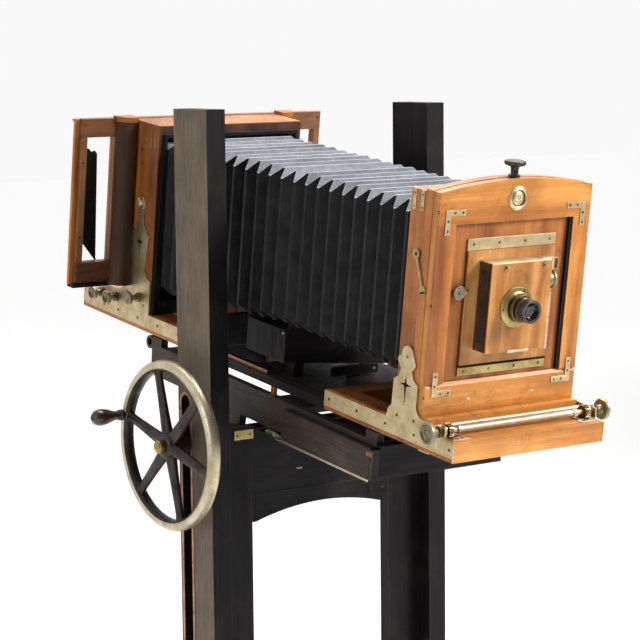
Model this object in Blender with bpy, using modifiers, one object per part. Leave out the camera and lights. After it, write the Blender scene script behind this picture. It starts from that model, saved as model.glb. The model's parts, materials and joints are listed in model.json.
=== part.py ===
"""Studio view camera on its two-post lift stand.

World frame: metres, +Z up, the lens looks along -Y, the floor is z = 0.
The camera bed is built level in its own frame and hung from one empty that
tips it nose-down about X, which is how it stands at rest.
"""
import math

import bmesh
import bpy
from mathutils import Matrix, Vector

# ---- driving dimensions -------------------------------------------------
GAP = 0.0003

TILT = math.radians(7.73)
BED_Z = 1.0178

POST_OUT = 0.2604
POST_IN = 0.2220
POST_D = 0.0511
POST_TOP = 1.484
FOOT_H0 = 0.050
FOOT_H1 = 0.112
FOOT_LEN = 0.620
CROSS_HALF = 0.395

SHAFT_Y = 0.0275
SHAFT_Z = 0.900
SHAFT_R = 0.0090
SLOT_HALF = 0.0130
SLOT_Z0 = 0.500
SLOT_Z1 = 0.9727
LIFT_PINION_R = 0.0118

WHEEL_X = -0.2960
WHEEL_R = 0.1410
RIM_R = 0.0095
RIM_WIDE = 1.27
SPOKES = 6
SPOKE_PHASE = math.radians(15.8)
GRIP_LEN = 0.072

PIVOT_Y = 0.0700
PIVOT_Z = 0.9050
PIVOT_R = 0.0070

BED_HALF = 0.1593
BED_T = 0.0334
FRONT_Y0 = -0.5850
FRONT_Y1 = -0.2450
REAR_Y0 = 0.1840
REAR_Y1 = 0.5490
RAIL_IN = 0.0920
RAIL_OUT = 0.1280
GROOVE_IN = 0.1390
GROOVE_OUT = 0.1510

STD_Y0 = -0.5045
STD_Y1 = -0.4685
BOX_Y1 = -0.4300
STD_Z0 = 0.0542
STD_Z1 = 0.4164
STD_APEX = 0.4322
OPEN_X = 0.1240
OPEN_Z0 = 0.1060
OPEN_Z1 = 0.3640

LENS_X = -0.0115
LENS_Z = 0.2300
LENS_R = 0.0192

RSTD_Y0 = 0.3110
RSTD_Y1 = 0.3985
RSTD_Z1 = 0.3900

FOLDS = 11

MATERIALS = {
    "mahogany": ((0.52, 0.25, 0.11, 1.0), 0.38, 0.0),
    "walnut": ((0.17, 0.08, 0.045, 1.0), 0.42, 0.0),
    "ebonised_wood": ((0.028, 0.024, 0.026, 1.0), 0.45, 0.0),
    "brass": ((0.66, 0.56, 0.35, 1.0), 0.36, 1.0),
    "dark_iron": ((0.060, 0.052, 0.048, 1.0), 0.50, 0.9),
    "copper_rack": ((0.47, 0.27, 0.18, 1.0), 0.45, 1.0),
    "turned_wood": ((0.14, 0.075, 0.045, 1.0), 0.35, 0.0),
    "bellows_cloth": ((0.030, 0.030, 0.036, 1.0), 0.72, 0.0),
    "black_lacquer": ((0.018, 0.018, 0.019, 1.0), 0.30, 0.0),
    "lens_glass": ((0.30, 0.36, 0.38, 1.0), 0.05, 0.0),
    "ground_glass": ((0.72, 0.76, 0.76, 1.0), 0.45, 0.0),
}


# ---- scene set-up -------------------------------------------------------
for leftover in list(bpy.data.objects):
    bpy.data.objects.remove(leftover, do_unlink=True)

scene = bpy.context.scene
parts = bpy.data.collections.new("view_camera")
cutters = bpy.data.collections.new("cutters")
scene.collection.children.link(parts)
scene.collection.children.link(cutters)

slots = {}
for slot, (colour, rough, metal) in MATERIALS.items():
    mat = bpy.data.materials.new(slot)
    mat.use_nodes = True
    shader = mat.node_tree.nodes["Principled BSDF"]
    shader.inputs["Base Color"].default_value = colour
    shader.inputs["Roughness"].default_value = rough
    shader.inputs["Metallic"].default_value = metal
    slots[slot] = mat

bed = bpy.data.objects.new("bed_frame", None)
parts.objects.link(bed)
bed.matrix_world = Matrix.Translation((0.0, 0.0, BED_Z)) @ Matrix.Rotation(TILT, 4, "X")


def to_bed(point):
    """World point to bed-frame point."""
    return bed.matrix_world.inverted() @ Vector(point)


bpy.context.view_layer.update()
PIVOT_BED = to_bed((0.0, PIVOT_Y, PIVOT_Z))


# ---- modelling helpers --------------------------------------------------
def add(name, mesh, slot, origin=(0.0, 0.0, 0.0), on_bed=False, smooth=False):
    """Link a mesh as one named piece with its origin moved to `origin`."""
    mesh.transform(Matrix.Translation(-Vector(origin)))
    if slot is not None:
        mesh.materials.clear()
        mesh.materials.append(slots[slot])
    obj = bpy.data.objects.new(name, mesh)
    (parts if slot is not None else cutters).objects.link(obj)
    if on_bed:
        obj.parent = bed
    obj.location = origin
    if slot is None:
        obj.hide_render = True
        obj.display_type = "WIRE"
    if smooth:
        for face in mesh.polygons:
            face.use_smooth = True
        mesh.set_sharp_from_angle(angle=math.radians(35.0))
    return obj


def block_mesh(x, y, z):
    """Box mesh between three coordinate pairs."""
    bm = bmesh.new()
    bmesh.ops.create_cube(bm, size=1.0)
    size = (x[1] - x[0], y[1] - y[0], z[1] - z[0])
    mid = ((x[1] + x[0]) / 2, (y[1] + y[0]) / 2, (z[1] + z[0]) / 2)
    bmesh.ops.scale(bm, vec=size, verts=bm.verts)
    bmesh.ops.translate(bm, vec=mid, verts=bm.verts)
    mesh = bpy.data.meshes.new("block")
    bm.to_mesh(mesh)
    bm.free()
    return mesh


def block(name, x, y, z, slot, **place):
    return add(name, block_mesh(x, y, z), slot, **place)


def rod_mesh(radius, low, high, axis, centre, steps=20):
    """Plain round bar along one axis; `centre` gives the two other coordinates."""
    bm = bmesh.new()
    bmesh.ops.create_cone(bm, cap_ends=True, segments=steps, radius1=radius, radius2=radius, depth=high - low)
    bmesh.ops.translate(bm, vec=(0, 0, (high + low) / 2), verts=bm.verts)
    if axis == "X":
        bmesh.ops.rotate(bm, cent=(0, 0, 0), matrix=Matrix.Rotation(math.radians(90), 3, "Y"), verts=bm.verts)
        bmesh.ops.translate(bm, vec=(0, centre[0], centre[1]), verts=bm.verts)
    elif axis == "Y":
        bmesh.ops.rotate(bm, cent=(0, 0, 0), matrix=Matrix.Rotation(math.radians(-90), 3, "X"),
                         verts=bm.verts)
        bmesh.ops.translate(bm, vec=(centre[0], 0, centre[1]), verts=bm.verts)
    else:
        bmesh.ops.translate(bm, vec=(centre[0], centre[1], 0), verts=bm.verts)
    mesh = bpy.data.meshes.new("rod")
    bm.to_mesh(mesh)
    bm.free()
    return mesh


PLANES = {
    "XY": Matrix.Identity(4),
    "XZ": Matrix.Rotation(math.radians(90), 4, "X"),
    "YZ": Matrix(((0, 0, 1, 0), (1, 0, 0, 0), (0, 1, 0, 0), (0, 0, 0, 1))),
}
NORMAL_SIGN = {"XY": 1.0, "XZ": -1.0, "YZ": 1.0}


def plate_mesh(plane, loops, low, high):
    """Sheet cut to closed outlines (first outer, then holes) and given a thickness."""
    curve = bpy.data.curves.new("outline", "CURVE")
    curve.dimensions = "2D"
    curve.fill_mode = "BOTH"
    curve.extrude = (high - low) / 2
    for loop in loops:
        spline = curve.splines.new("POLY")
        spline.points.add(len(loop) - 1)
        for point, (a, b) in zip(spline.points, loop):
            point.co = (a, b, 0.0, 1.0)
        spline.use_cyclic_u = True
    obj = bpy.data.objects.new("outline", curve)
    scene.collection.objects.link(obj)
    bpy.context.view_layer.update()
    mesh = bpy.data.meshes.new_from_object(obj.evaluated_get(bpy.context.evaluated_depsgraph_get()))
    bpy.data.objects.remove(obj, do_unlink=True)
    mid = NORMAL_SIGN[plane] * (high + low) / 2
    mesh.transform(PLANES[plane] @ Matrix.Translation((0, 0, mid)))
    bm = bmesh.new()
    bm.from_mesh(mesh)
    bmesh.ops.remove_doubles(bm, verts=bm.verts, dist=0.00005)
    bmesh.ops.recalc_face_normals(bm, faces=bm.faces)
    bm.to_mesh(mesh)
    bm.free()
    return mesh


def plate(name, plane, loops, low, high, slot, **place):
    return add(name, plate_mesh(plane, loops, low, high), slot, **place)


def rect(x0, x1, y0, y1):
    return [(x0, y0), (x1, y0), (x1, y1), (x0, y1)]


def arc(cx, cy, r, start, end, steps):
    """Points on an arc, degrees, both ends included."""
    angles = [math.radians(start + (end - start) * i / steps) for i in range(steps + 1)]
    return [(cx + r * math.cos(a), cy + r * math.sin(a)) for a in angles]


def circle(cx, cy, r, steps=20):
    return arc(cx, cy, r, 0, 360, steps)[:-1]


def turned_mesh(profile, steps=24, closed=False):
    """Solid of revolution about Z from a profile running down its outer side."""
    mesh = bpy.data.meshes.new("profile")
    edges = [(i, i + 1) for i in range(len(profile) - 1)]
    if closed:
        edges.append((len(profile) - 1, 0))
    mesh.from_pydata([(r, 0.0, z) for r, z in profile], edges, [])
    obj = bpy.data.objects.new("profile", mesh)
    scene.collection.objects.link(obj)
    screw = obj.modifiers.new("turn", "SCREW")
    screw.axis = "Z"
    screw.steps = steps
    screw.render_steps = steps
    screw.use_merge_vertices = True
    screw.merge_threshold = 0.00005
    bpy.context.view_layer.update()
    result = bpy.data.meshes.new_from_object(obj.evaluated_get(bpy.context.evaluated_depsgraph_get()))
    bpy.data.objects.remove(obj, do_unlink=True)
    bm = bmesh.new()
    bm.from_mesh(result)
    bmesh.ops.remove_doubles(bm, verts=bm.verts, dist=0.00005)
    bmesh.ops.recalc_face_normals(bm, faces=bm.faces)
    bm.to_mesh(result)
    bm.free()
    return result


AXIS_TURN = {
    "Z": Matrix.Identity(4),
    "X": Matrix.Rotation(math.radians(90), 4, "Y"),
    "-X": Matrix.Rotation(math.radians(-90), 4, "Y"),
    "Y": Matrix.Rotation(math.radians(-90), 4, "X"),
    "-Y": Matrix.Rotation(math.radians(90), 4, "X"),
}


def turned(name, profile, axis, centre, slot, steps=24, closed=False, on_bed=False):
    """Turned piece whose profile height runs along `axis` from `centre`."""
    mesh = turned_mesh(profile, steps, closed)
    mesh.transform(Matrix.Translation(centre) @ AXIS_TURN[axis])
    return add(name, mesh, slot, origin=centre, on_bed=on_bed, smooth=True)


def combine(obj, mesh, operation, on_bed=False):
    """Apply one exact boolean with a helper kept in the cutter collection."""
    tool = add(obj.name + "_tool", mesh, None, on_bed=on_bed)
    mod = obj.modifiers.new("cut", "BOOLEAN")
    mod.operation = operation
    mod.solver = "EXACT"
    mod.object = tool
    return obj


def sides(maker):
    """Build a left and a right copy: maker(suffix, sign)."""
    maker("left", -1)
    maker("right", 1)


def span(sign, inner, outer):
    """Ordered x-range on one side from inner and outer distances."""
    return (inner, outer) if sign > 0 else (-outer, -inner)


# ---- stand --------------------------------------------------------------
def stand_side(side, sign):
    h0, h1, end = FOOT_H0, FOOT_H1, FOOT_LEN
    foot = [(-end, h0), (end, h0), (end, h0 + 0.022), (end - 0.03, h1), (-end + 0.03, h1), (-end, h0 + 0.022)]
    x = span(sign, 0.2030, 0.2790)
    plate("foot_" + side, "YZ", [foot], x[0], x[1], "ebonised_wood")
    x = span(sign, POST_IN, POST_OUT)
    loops = [rect(-POST_D, POST_D, FOOT_H1 + GAP, POST_TOP)]
    if sign < 0:
        top = arc(SHAFT_Y, SLOT_Z1, SLOT_HALF, 0, 180, 10)
        loops.append([(SHAFT_Y + SLOT_HALF, SLOT_Z0)] + top + [(SHAFT_Y - SLOT_HALF, SLOT_Z0)])
    plate("post_" + side, "YZ", loops, x[0], x[1], "ebonised_wood")
    block("post_rack_" + side, span(sign, 0.2057, POST_IN - GAP), (0.0430, POST_D), (0.560, 1.120),
          "copper_rack")


sides(stand_side)
for place, y in (("front", -0.330), ("rear", 0.330)):
    block("cross_foot_" + place, (-CROSS_HALF, CROSS_HALF), (y - 0.045, y + 0.045), (0.0, FOOT_H0 - GAP),
          "ebonised_wood")


# ---- lift carriage ------------------------------------------------------
APRON_TOP = 0.9200
RUNNER_Y = (-0.0170, 0.0080)


def carriage_side(side, sign):
    block("runner_" + side, span(sign, 0.1530, POST_IN - 0.0006), RUNNER_Y, (0.470, APRON_TOP),
          "ebonised_wood")
    outline = [(0.0083, 0.868), (0.0880, 0.868), (0.0880, 0.9150), (0.0800, 0.9230), (0.0083, 0.9230)]
    holes = [circle(SHAFT_Y, SHAFT_Z, SHAFT_R + 0.0004), circle(PIVOT_Y, PIVOT_Z, PIVOT_R + 0.0004)]
    x = span(sign, 0.1540, 0.1760)
    plate("cheek_" + side, "YZ", [outline] + holes, x[0], x[1], "ebonised_wood")


sides(carriage_side)
arch = []
for i in range(25):
    t = -1 + 2 * i / 24
    arch.append((0.1450 * t, 0.7727 - 0.0210 * t * t))
dip = [(0.1450, APRON_TOP), (0.1200, 0.9080), (0.0950, 0.8980)]
dip += [(-x, z) for x, z in reversed(dip)]
apron = [(-0.1527, 0.7517)] + arch + [(0.1527, 0.7517), (0.1527, APRON_TOP)] + dip + [(-0.1527, APRON_TOP)]
plate("apron", "XZ", [apron], RUNNER_Y[0], 0.0050, "ebonised_wood")


# ---- crank shaft, handwheel and grip ------------------------------------
x0 = -0.3185
shaft_profile = [
    (0.0, 0.2205 - x0), (SHAFT_R, 0.2205 - x0), (LIFT_PINION_R, 0.2200 - x0), (LIFT_PINION_R, 0.2070 - x0),
    (SHAFT_R, 0.2065 - x0), (SHAFT_R, -0.2065 - x0), (LIFT_PINION_R, -0.2070 - x0),
    (LIFT_PINION_R, -0.2200 - x0),
    (SHAFT_R, -0.2205 - x0), (SHAFT_R, -0.2610 - x0), (0.0165, -0.2610 - x0), (0.0165, -0.2735 - x0),
    (SHAFT_R, -0.2740 - x0), (SHAFT_R, 0.0), (0.0, 0.0),
]
turned("crank_shaft", shaft_profile, "X", (x0, SHAFT_Y, SHAFT_Z), "dark_iron", steps=20)

hub = [
    (0.0097, 0.0150), (0.0215, 0.0150), (0.0250, 0.0060), (0.0250, -0.0120), (0.0200, -0.0190),
    (0.0097, -0.0190),
]
wheel_centre = (WHEEL_X, SHAFT_Y, SHAFT_Z)
wheel = turned("handwheel", hub, "-X", wheel_centre, "brass", steps=24, closed=True)
rim_section = [(WHEEL_R + p[0], p[1] * RIM_WIDE) for p in circle(0, 0, RIM_R, 10)]
rim = turned_mesh(rim_section, steps=48, closed=True)
rim.transform(Matrix.Translation(wheel_centre) @ AXIS_TURN["X"])
combine(wheel, rim, "UNION")
for i in range(SPOKES):
    angle = SPOKE_PHASE + i * 2 * math.pi / SPOKES
    bm = bmesh.new()
    bmesh.ops.create_cone(bm, cap_ends=True, segments=8, radius1=0.0125, radius2=0.0085,
                          depth=WHEEL_R - 0.021)
    bmesh.ops.scale(bm, vec=(0.62, 1.0, 1.0), verts=bm.verts)
    bmesh.ops.translate(bm, vec=(0, 0, (WHEEL_R + 0.019) / 2), verts=bm.verts)
    bmesh.ops.rotate(bm, cent=(0, 0, 0), matrix=Matrix.Rotation(angle - math.pi / 2, 3, "X"), verts=bm.verts)
    bmesh.ops.translate(bm, vec=wheel_centre, verts=bm.verts)
    spoke = bpy.data.meshes.new("spoke")
    bm.to_mesh(spoke)
    bm.free()
    combine(wheel, spoke, "UNION")
grip_y = SHAFT_Y + WHEEL_R * math.cos(SPOKE_PHASE)
grip_z = SHAFT_Z + WHEEL_R * math.sin(SPOKE_PHASE)
grip_profile = [
    (0.0, 0.0760), (0.0035, 0.0760), (0.0080, 0.0730), (0.0128, 0.0660), (0.0150, 0.0570), (0.0142, 0.0480),
    (0.0105, 0.0370), (0.0075, 0.0280), (0.0072, 0.0200), (0.0100, 0.0150), (0.0100, 0.0139), (0.0, 0.0139),
]
turned("grip", grip_profile, "-X", (WHEEL_X, grip_y, grip_z), "turned_wood", steps=20)


# ---- tilting platform under the camera ----------------------------------
SIDE_TOP = -0.0300
SIDE_LOW = -0.0880
TAB_TOP = -0.0145 - GAP


def platform_side(side, sign):
    x = span(sign, 0.1180, 0.1330)
    py, pz = PIVOT_BED.y, PIVOT_BED.z
    ear = arc(py, pz, 0.0140, 200, 340, 8)
    outline = [(-0.3600, SIDE_LOW), (py - 0.020, SIDE_LOW)] + ear
    outline += [(py + 0.020, SIDE_LOW), (0.3350, SIDE_LOW)]
    outline += arc(0.3450, -0.0280, 0.0128, -130, 130, 12)
    outline += [(0.3350, TAB_TOP), (0.3050, TAB_TOP), (0.3050, SIDE_TOP), (0.1550, SIDE_TOP)]
    outline += [(0.1550, TAB_TOP), (0.1250, TAB_TOP), (0.1250, SIDE_TOP), (-0.3300, SIDE_TOP)]
    outline += [(-0.3300, TAB_TOP), (-0.3600, TAB_TOP)]
    loops = [outline, circle(py, pz, PIVOT_R + 0.0004, 16), circle(0.3450, -0.0280, 0.0070, 16)]
    plate("side_board_" + side, "YZ", loops, x[0], x[1], "ebonised_wood", on_bed=True)
    x = span(sign, RAIL_IN, RAIL_OUT)
    block("bed_rail_" + side, x, (-0.520, 0.500), (-0.0145, -GAP), "ebonised_wood", on_bed=True)


sides(platform_side)
block("platform_front_plate", (-0.1330, 0.1330), (-0.3725, -0.3603), (-0.0915, -0.0350), "ebonised_wood",
      on_bed=True)
block("cross_board_front", (-0.1177, 0.1177), (-0.3600, -0.2470), (-0.0420, SIDE_TOP), "ebonised_wood",
      on_bed=True)
block("cross_board_middle", (-0.1177, 0.1177), (-0.1410, -0.0600), (-0.0420, SIDE_TOP), "ebonised_wood",
      on_bed=True)
block("platform_rear_rail", (-0.1177, 0.1177), (0.3150, 0.3340), (-0.0850, -0.0400), "ebonised_wood",
      on_bed=True)
block("side_box", (-0.1495, -0.1333), (-0.3722, -0.1150), (-0.0930, -0.0380), "ebonised_wood", on_bed=True)
add("tilt_shaft", rod_mesh(PIVOT_R, -0.1800, 0.1800, "X", (PIVOT_Y, PIVOT_Z)), "dark_iron")
block("bed_rack", (-0.1180, -0.1040), (-0.0050, 0.1500), (0.0, 0.0050), "copper_rack", on_bed=True)


def bed_board(name, y0, y1, hole_y0, hole_y1, groove_y0, groove_y1):
    loops = [rect(-BED_HALF, BED_HALF, y0, y1), rect(-0.1120, 0.1120, hole_y0, hole_y1)]
    board = plate(name, "XY", loops, 0.0, BED_T, "mahogany", on_bed=True)
    for sign in (-1, 1):
        x = span(sign, GROOVE_IN, GROOVE_OUT)
        combine(board, block_mesh(x, (groove_y0, groove_y1), (BED_T - 0.0032, BED_T + 0.01)), "DIFFERENCE",
                on_bed=True)


bed_board("front_bed", FRONT_Y0, FRONT_Y1, -0.4300, -0.2800, -0.5750, -0.3700)
bed_board("rear_bed", REAR_Y0, REAR_Y1, 0.2200, 0.3600, 0.3300, 0.5350)

waist = [rect(-0.1060, 0.1060, 0.0600, 0.3520), rect(-0.0960, 0.0960, 0.1230, 0.3400)]
support = plate("bellows_support", "XZ", waist, -0.0640, -0.0560, "ebonised_wood", on_bed=True)
combine(support, block_mesh((-0.1180, 0.1180), (-0.0640, 0.0500), (0.0300, 0.0880)), "UNION", on_bed=True)
for sign in (-1, 1):
    leg = block_mesh(span(sign, 0.0700, 0.0915), (-0.0600, -0.0400), (-0.0080, 0.0400))
    combine(support, leg, "UNION", on_bed=True)
base = block_mesh((-0.0917, 0.0917), (-0.2450, 0.0500), (-0.0145, -GAP))
combine(support, base, "UNION", on_bed=True)


# ---- front carriage -----------------------------------------------------
def bracket(name, sign, points, holes):
    x = span(sign, 0.1596, 0.1620)
    plate(name, "YZ", [points] + holes, x[0], x[1], "brass", on_bed=True)


def star_hole(cy, cz, half_w, up, down):
    """Four-pointed star with a long lower ray."""
    w = 0.0028
    return [(cy, cz + up), (cy + w, cz + w), (cy + half_w, cz), (cy + w, cz - w),
            (cy, cz - down), (cy - w, cz - w), (cy - half_w, cz), (cy - w, cz + w)]


PIN_Y = -0.5510
PIN_Z = 0.0435
FB = -0.4575


def front_side(side, sign):
    z0 = BED_T + GAP
    pts = [(-0.5640, z0), (-0.4140, z0), (-0.4180, 0.0480), (-0.4260, 0.0560), (-0.4270, 0.1000)]
    pts += [(-0.4380, 0.1060), (-0.4440, 0.1200), (-0.4330, 0.1340), (-0.4360, 0.1400), (-0.4420, 0.1420)]
    pts += arc(FB, 0.1450, 0.0150, 10, 170, 8)
    pts += [(-0.4770, 0.1380), (-0.4800, 0.1320), (-0.4710, 0.1200), (-0.4760, 0.1080), (-0.4880, 0.1010)]
    pts += [(-0.4880, 0.0640), (-0.4930, 0.0560), (-0.5020, 0.0510), (-0.5640, 0.0510)]
    holes = [star_hole(FB, 0.0960, 0.0150, 0.0170, 0.0370), circle(PIN_Y, PIN_Z, 0.0050, 12)]
    bracket("front_bracket_" + side, sign, pts, holes)


sides(front_side)
block("front_riser", (-BED_HALF, BED_HALF), (-0.5180, -0.4300), (BED_T + GAP, STD_Z0 - GAP), "mahogany",
      on_bed=True)
rod = rod_mesh(0.0042, -0.1590, 0.1590, "X", (-0.5300, 0.0440), 14)
add("front_tie_rod", rod, "brass", on_bed=True)

outline = [(-BED_HALF, STD_Z0), (BED_HALF, STD_Z0), (BED_HALF, STD_Z1)]
for i in range(1, 24):
    t = 1 - 2 * i / 24
    outline.append((BED_HALF * t, STD_APEX - (STD_APEX - STD_Z1) * abs(t) ** 1.8))
outline.append((-BED_HALF, STD_Z1))
opening = rect(-OPEN_X, OPEN_X, OPEN_Z0, OPEN_Z1)
frame = plate("front_frame", "XZ", [outline, opening], STD_Y0, STD_Y1, "mahogany", on_bed=True)
pocket = block_mesh((-0.1400, 0.1400), (-0.4975, -0.4600), (0.0700, 0.3975))
combine(frame, pocket, "DIFFERENCE", on_bed=True)
box = [rect(-0.1575, 0.1575, STD_Z0, 0.4125), rect(-0.1330, 0.1330, 0.0830, 0.3860)]
plate("front_box", "XZ", box, STD_Y1 + GAP, BOX_Y1, "mahogany", on_bed=True)


def knobbed_shaft(name, y, z, pinion_r, knob_r, outer):
    """Cross shaft with a dished knob at each end and a pinion over each groove."""
    half = [
        (0.0, outer - 0.0025), (knob_r - 0.0030, outer - 0.0020), (knob_r - 0.0018, outer),
        (knob_r, outer - 0.0010), (knob_r, outer - 0.0060), (0.0080, outer - 0.0085),
        (0.0070, 0.1680), (0.0095, 0.1670), (0.0095, 0.1630), (0.0045, 0.1628),
        (0.0045, 0.1504), (pinion_r, 0.1500), (pinion_r, 0.1400), (0.0045, 0.1396),
    ]
    down = half + [(r, -x) for r, x in reversed(half)]
    turned(name, down, "X", (0.0, y, z), "brass", steps=18, on_bed=True)


knobbed_shaft("front_pinion_shaft", PIN_Y, PIN_Z, 0.0102, 0.0180, 0.1900)


# ---- rising front, shutter and lens -------------------------------------
panel = [rect(-0.1360, 0.1360, 0.0775, 0.3720), circle(LENS_X, LENS_Z, 0.0300, 24)]
plate("rising_panel", "XZ", panel, -0.4970, -0.4820, "mahogany", on_bed=True)
board = [rect(-0.0915, 0.0915, 0.1285, 0.3185), circle(LENS_X, LENS_Z, 0.0300, 24)]
plate("lens_board", "XZ", board, -0.5025, -0.4973, "mahogany", on_bed=True)
shutter = [rect(-0.0670, 0.0585, 0.1570, 0.3020), circle(LENS_X, LENS_Z, 0.0230, 24)]
plate("shutter_box", "XZ", shutter, -0.5350, -0.5028, "walnut", on_bed=True)
lens_c = (LENS_X, -0.5353, LENS_Z)
flange = [(0.0208, 0.0062), (0.0245, 0.0062), (0.0262, 0.0030), (0.0335, 0.0026), (0.0335, 0.0),
          (0.0208, 0.0)]
turned("lens_flange", flange, "-Y", lens_c, "brass", steps=28, closed=True, on_bed=True)
barrel = [(0.0, 0.0310), (0.0150, 0.0310), (0.0165, 0.0395), (0.0195, 0.0395), (0.0195, 0.0185),
          (0.0182, 0.0180),
          (0.0182, 0.0118), (0.0203, 0.0112), (0.0203, -0.0300), (0.0, -0.0300)]
turned("lens_barrel", barrel, "-Y", lens_c, "black_lacquer", steps=28, on_bed=True)
ring = [(0.0186, 0.0176), (0.0228, 0.0176), (0.0228, 0.0122), (0.0186, 0.0122)]
turned("iris_ring", ring, "-Y", lens_c, "brass", steps=28, closed=True, on_bed=True)
glass = [(0.0, 0.0352), (0.0080, 0.0346), (0.0143, 0.0328), (0.0143, 0.0314), (0.0, 0.0314)]
turned("lens_glass", glass, "-Y", lens_c, "lens_glass", steps=24, on_bed=True)
pulley = [(0.0, 0.0150), (0.0155, 0.0150), (0.0155, 0.0120), (0.0125, 0.0100), (0.0125, 0.0060),
          (0.0155, 0.0040),
          (0.0155, 0.0010), (0.0050, 0.0), (0.0, 0.0)]
turned("shutter_pulley", pulley, "X", (0.0588, -0.5190, 0.2670), "brass", steps=20, on_bed=True)
screw_profile = [(0.0, 0.0260), (0.0155, 0.0260), (0.0170, 0.0245), (0.0170, 0.0205), (0.0120, 0.0180),
                 (0.0065, 0.0165), (0.0065, 0.0040), (0.0100, 0.0030), (0.0100, 0.0), (0.0, 0.0)]
turned("clamp_screw", screw_profile, "Z", (0.0, -0.4900, STD_APEX + GAP), "dark_iron", steps=20, on_bed=True)

BUTTON = (-0.1060, 0.2530)
lobe = arc(BUTTON[0], BUTTON[1], 0.0115, 14, 346, 18)
pointer = [(BUTTON[0] + 0.0200, BUTTON[1] - 0.0026), (BUTTON[0] + 0.0200, BUTTON[1] + 0.0026)]
origin = (BUTTON[0], -0.5040, BUTTON[1])
button = plate("turn_button", "XZ", [lobe + pointer], -0.5062, -0.5029, "brass", origin=origin, on_bed=True)
combine(button, rod_mesh(0.0060, -0.5045, -0.4973, "Y", BUTTON, 14), "UNION", on_bed=True)

HOOK = (-0.4570, 0.3100)
TIP = (-0.4790, 0.2560)
run = math.degrees(math.atan2(TIP[1] - HOOK[1], TIP[0] - HOOK[0]))
hook = arc(HOOK[0], HOOK[1], 0.0080, run + 18, run + 342, 14)
hook += arc(TIP[0], TIP[1], 0.0068, run - 160, run + 160, 12)
origin = (-0.1605, HOOK[0], HOOK[1])
plate("side_hook", "YZ", [hook, circle(HOOK[0], HOOK[1], 0.0026, 10)], -0.1618, -0.1597, "brass",
      origin=origin, on_bed=True)


# ---- rear carriage ------------------------------------------------------
RPIN = (0.4790, 0.0420)
CLAMP = (0.4280, 0.0440)
RB = 0.3540


def rear_side(side, sign):
    z0 = BED_T + GAP
    pts = [(0.3115, z0), (0.5380, z0)] + arc(0.5380, z0 + 0.0095, 0.0095, -60, 90, 5)
    pts += [(0.5000, 0.0540), (0.4700, 0.0600), (0.4150, 0.0620), (0.3980, 0.0740), (0.3900, 0.0960),
            (0.3780, 0.1150)]
    pts += [(0.3840, 0.1800), (0.3720, 0.1860), (0.3640, 0.2000), (0.3610, 0.2180), (0.3660, 0.2300)]
    pts += arc(RB, 0.2390, 0.0125, -15, 195, 10)
    pts += [(0.3470, 0.2180), (0.3420, 0.2000), (0.3340, 0.1860), (0.3240, 0.1800), (0.3330, 0.1150),
            (0.3240, 0.1020)]
    pts += [(0.3115, 0.0960)]
    holes = [star_hole(RB, 0.1650, 0.0120, 0.0140, 0.0330), circle(RPIN[0], RPIN[1], 0.0050, 12)]
    holes += [circle(CLAMP[0], CLAMP[1], 0.0050, 12)]
    bracket("rear_bracket_" + side, sign, pts, holes)
    profile = [(0.0, 0.0250), (0.0095, 0.0255), (0.0125, 0.0245), (0.0125, 0.0205), (0.0060, 0.0190),
               (0.0050, 0.0060),
               (0.0090, 0.0050), (0.0090, 0.0), (0.0, 0.0)]
    centre = (sign * (0.1620 + GAP), 0.3470, 0.0600)
    turned("swing_screw_" + side, profile, "X" if sign > 0 else "-X", centre, "brass", steps=16, on_bed=True)


sides(rear_side)
standard = [rect(-BED_HALF, BED_HALF, BED_T + GAP, RSTD_Z1), rect(-0.1450, 0.1450, 0.0500, 0.3760)]
plate("rear_standard", "XZ", standard, RSTD_Y0, RSTD_Y1, "mahogany", on_bed=True)
windows = [rect(0.2001, 0.2575, 0.1220, 0.3570), rect(-0.2575, -0.2001, 0.1220, 0.3570)]
wide = [rect(-0.2790, 0.2790, 0.0800, 0.3920), rect(-0.1400, 0.1400, 0.1050, 0.3650)] + windows
back = plate("wide_back", "XZ", wide, RSTD_Y1 + GAP, 0.4165, "mahogany", on_bed=True)
for sign in (-1, 1):
    column = arc(-0.1715, 0.4050, 0.0275, 180, 289.5, 12) + [(-0.1623, 0.4050)]
    column = [(-sign * x, y) for x, y in column]
    combine(back, plate_mesh("XY", [column], 0.0760, 0.3945), "UNION", on_bed=True)
knobbed_shaft("rear_pinion_shaft", RPIN[0], RPIN[1], 0.0088, 0.0130, 0.1860)
knobbed_shaft("rear_clamp_rod", CLAMP[0], CLAMP[1], 0.0070, 0.0130, 0.1860)

holder = [rect(-0.1750, 0.1750, 0.0880, 0.3840), rect(-0.1350, 0.1350, 0.1100, 0.3600)]
plate("glass_frame", "XZ", holder, 0.4168, 0.4370, "mahogany", on_bed=True)
block("ground_glass", (-0.1347, 0.1347), (0.4240, 0.4265), (0.1103, 0.3597), "ground_glass", on_bed=True)


# ---- bellows ------------------------------------------------------------
def section(y):
    """Ridge half-width, low and high edge of the bellows at a station."""
    t = (y + 0.4300) / 0.7550
    half = 0.1200 + 0.0210 * t
    low = 0.0980 + 0.0100 * t - 0.0350 * max(0.0, t - 0.5) * 2
    high = 0.3780 - 0.0160 * t
    return half, low, high


def ring_points(y, inset):
    half, low, high = section(y)
    c = 0.0060 + inset * 0.4
    x, a, b = half - inset, low + inset, high - inset
    pts = [(x - c, a), (x, a + c), (x, b - c), (x - c, b), (-x + c, b), (-x, b - c), (-x, a + c), (-x + c, a)]
    return [(px, y, pz) for px, pz in pts]


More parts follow.
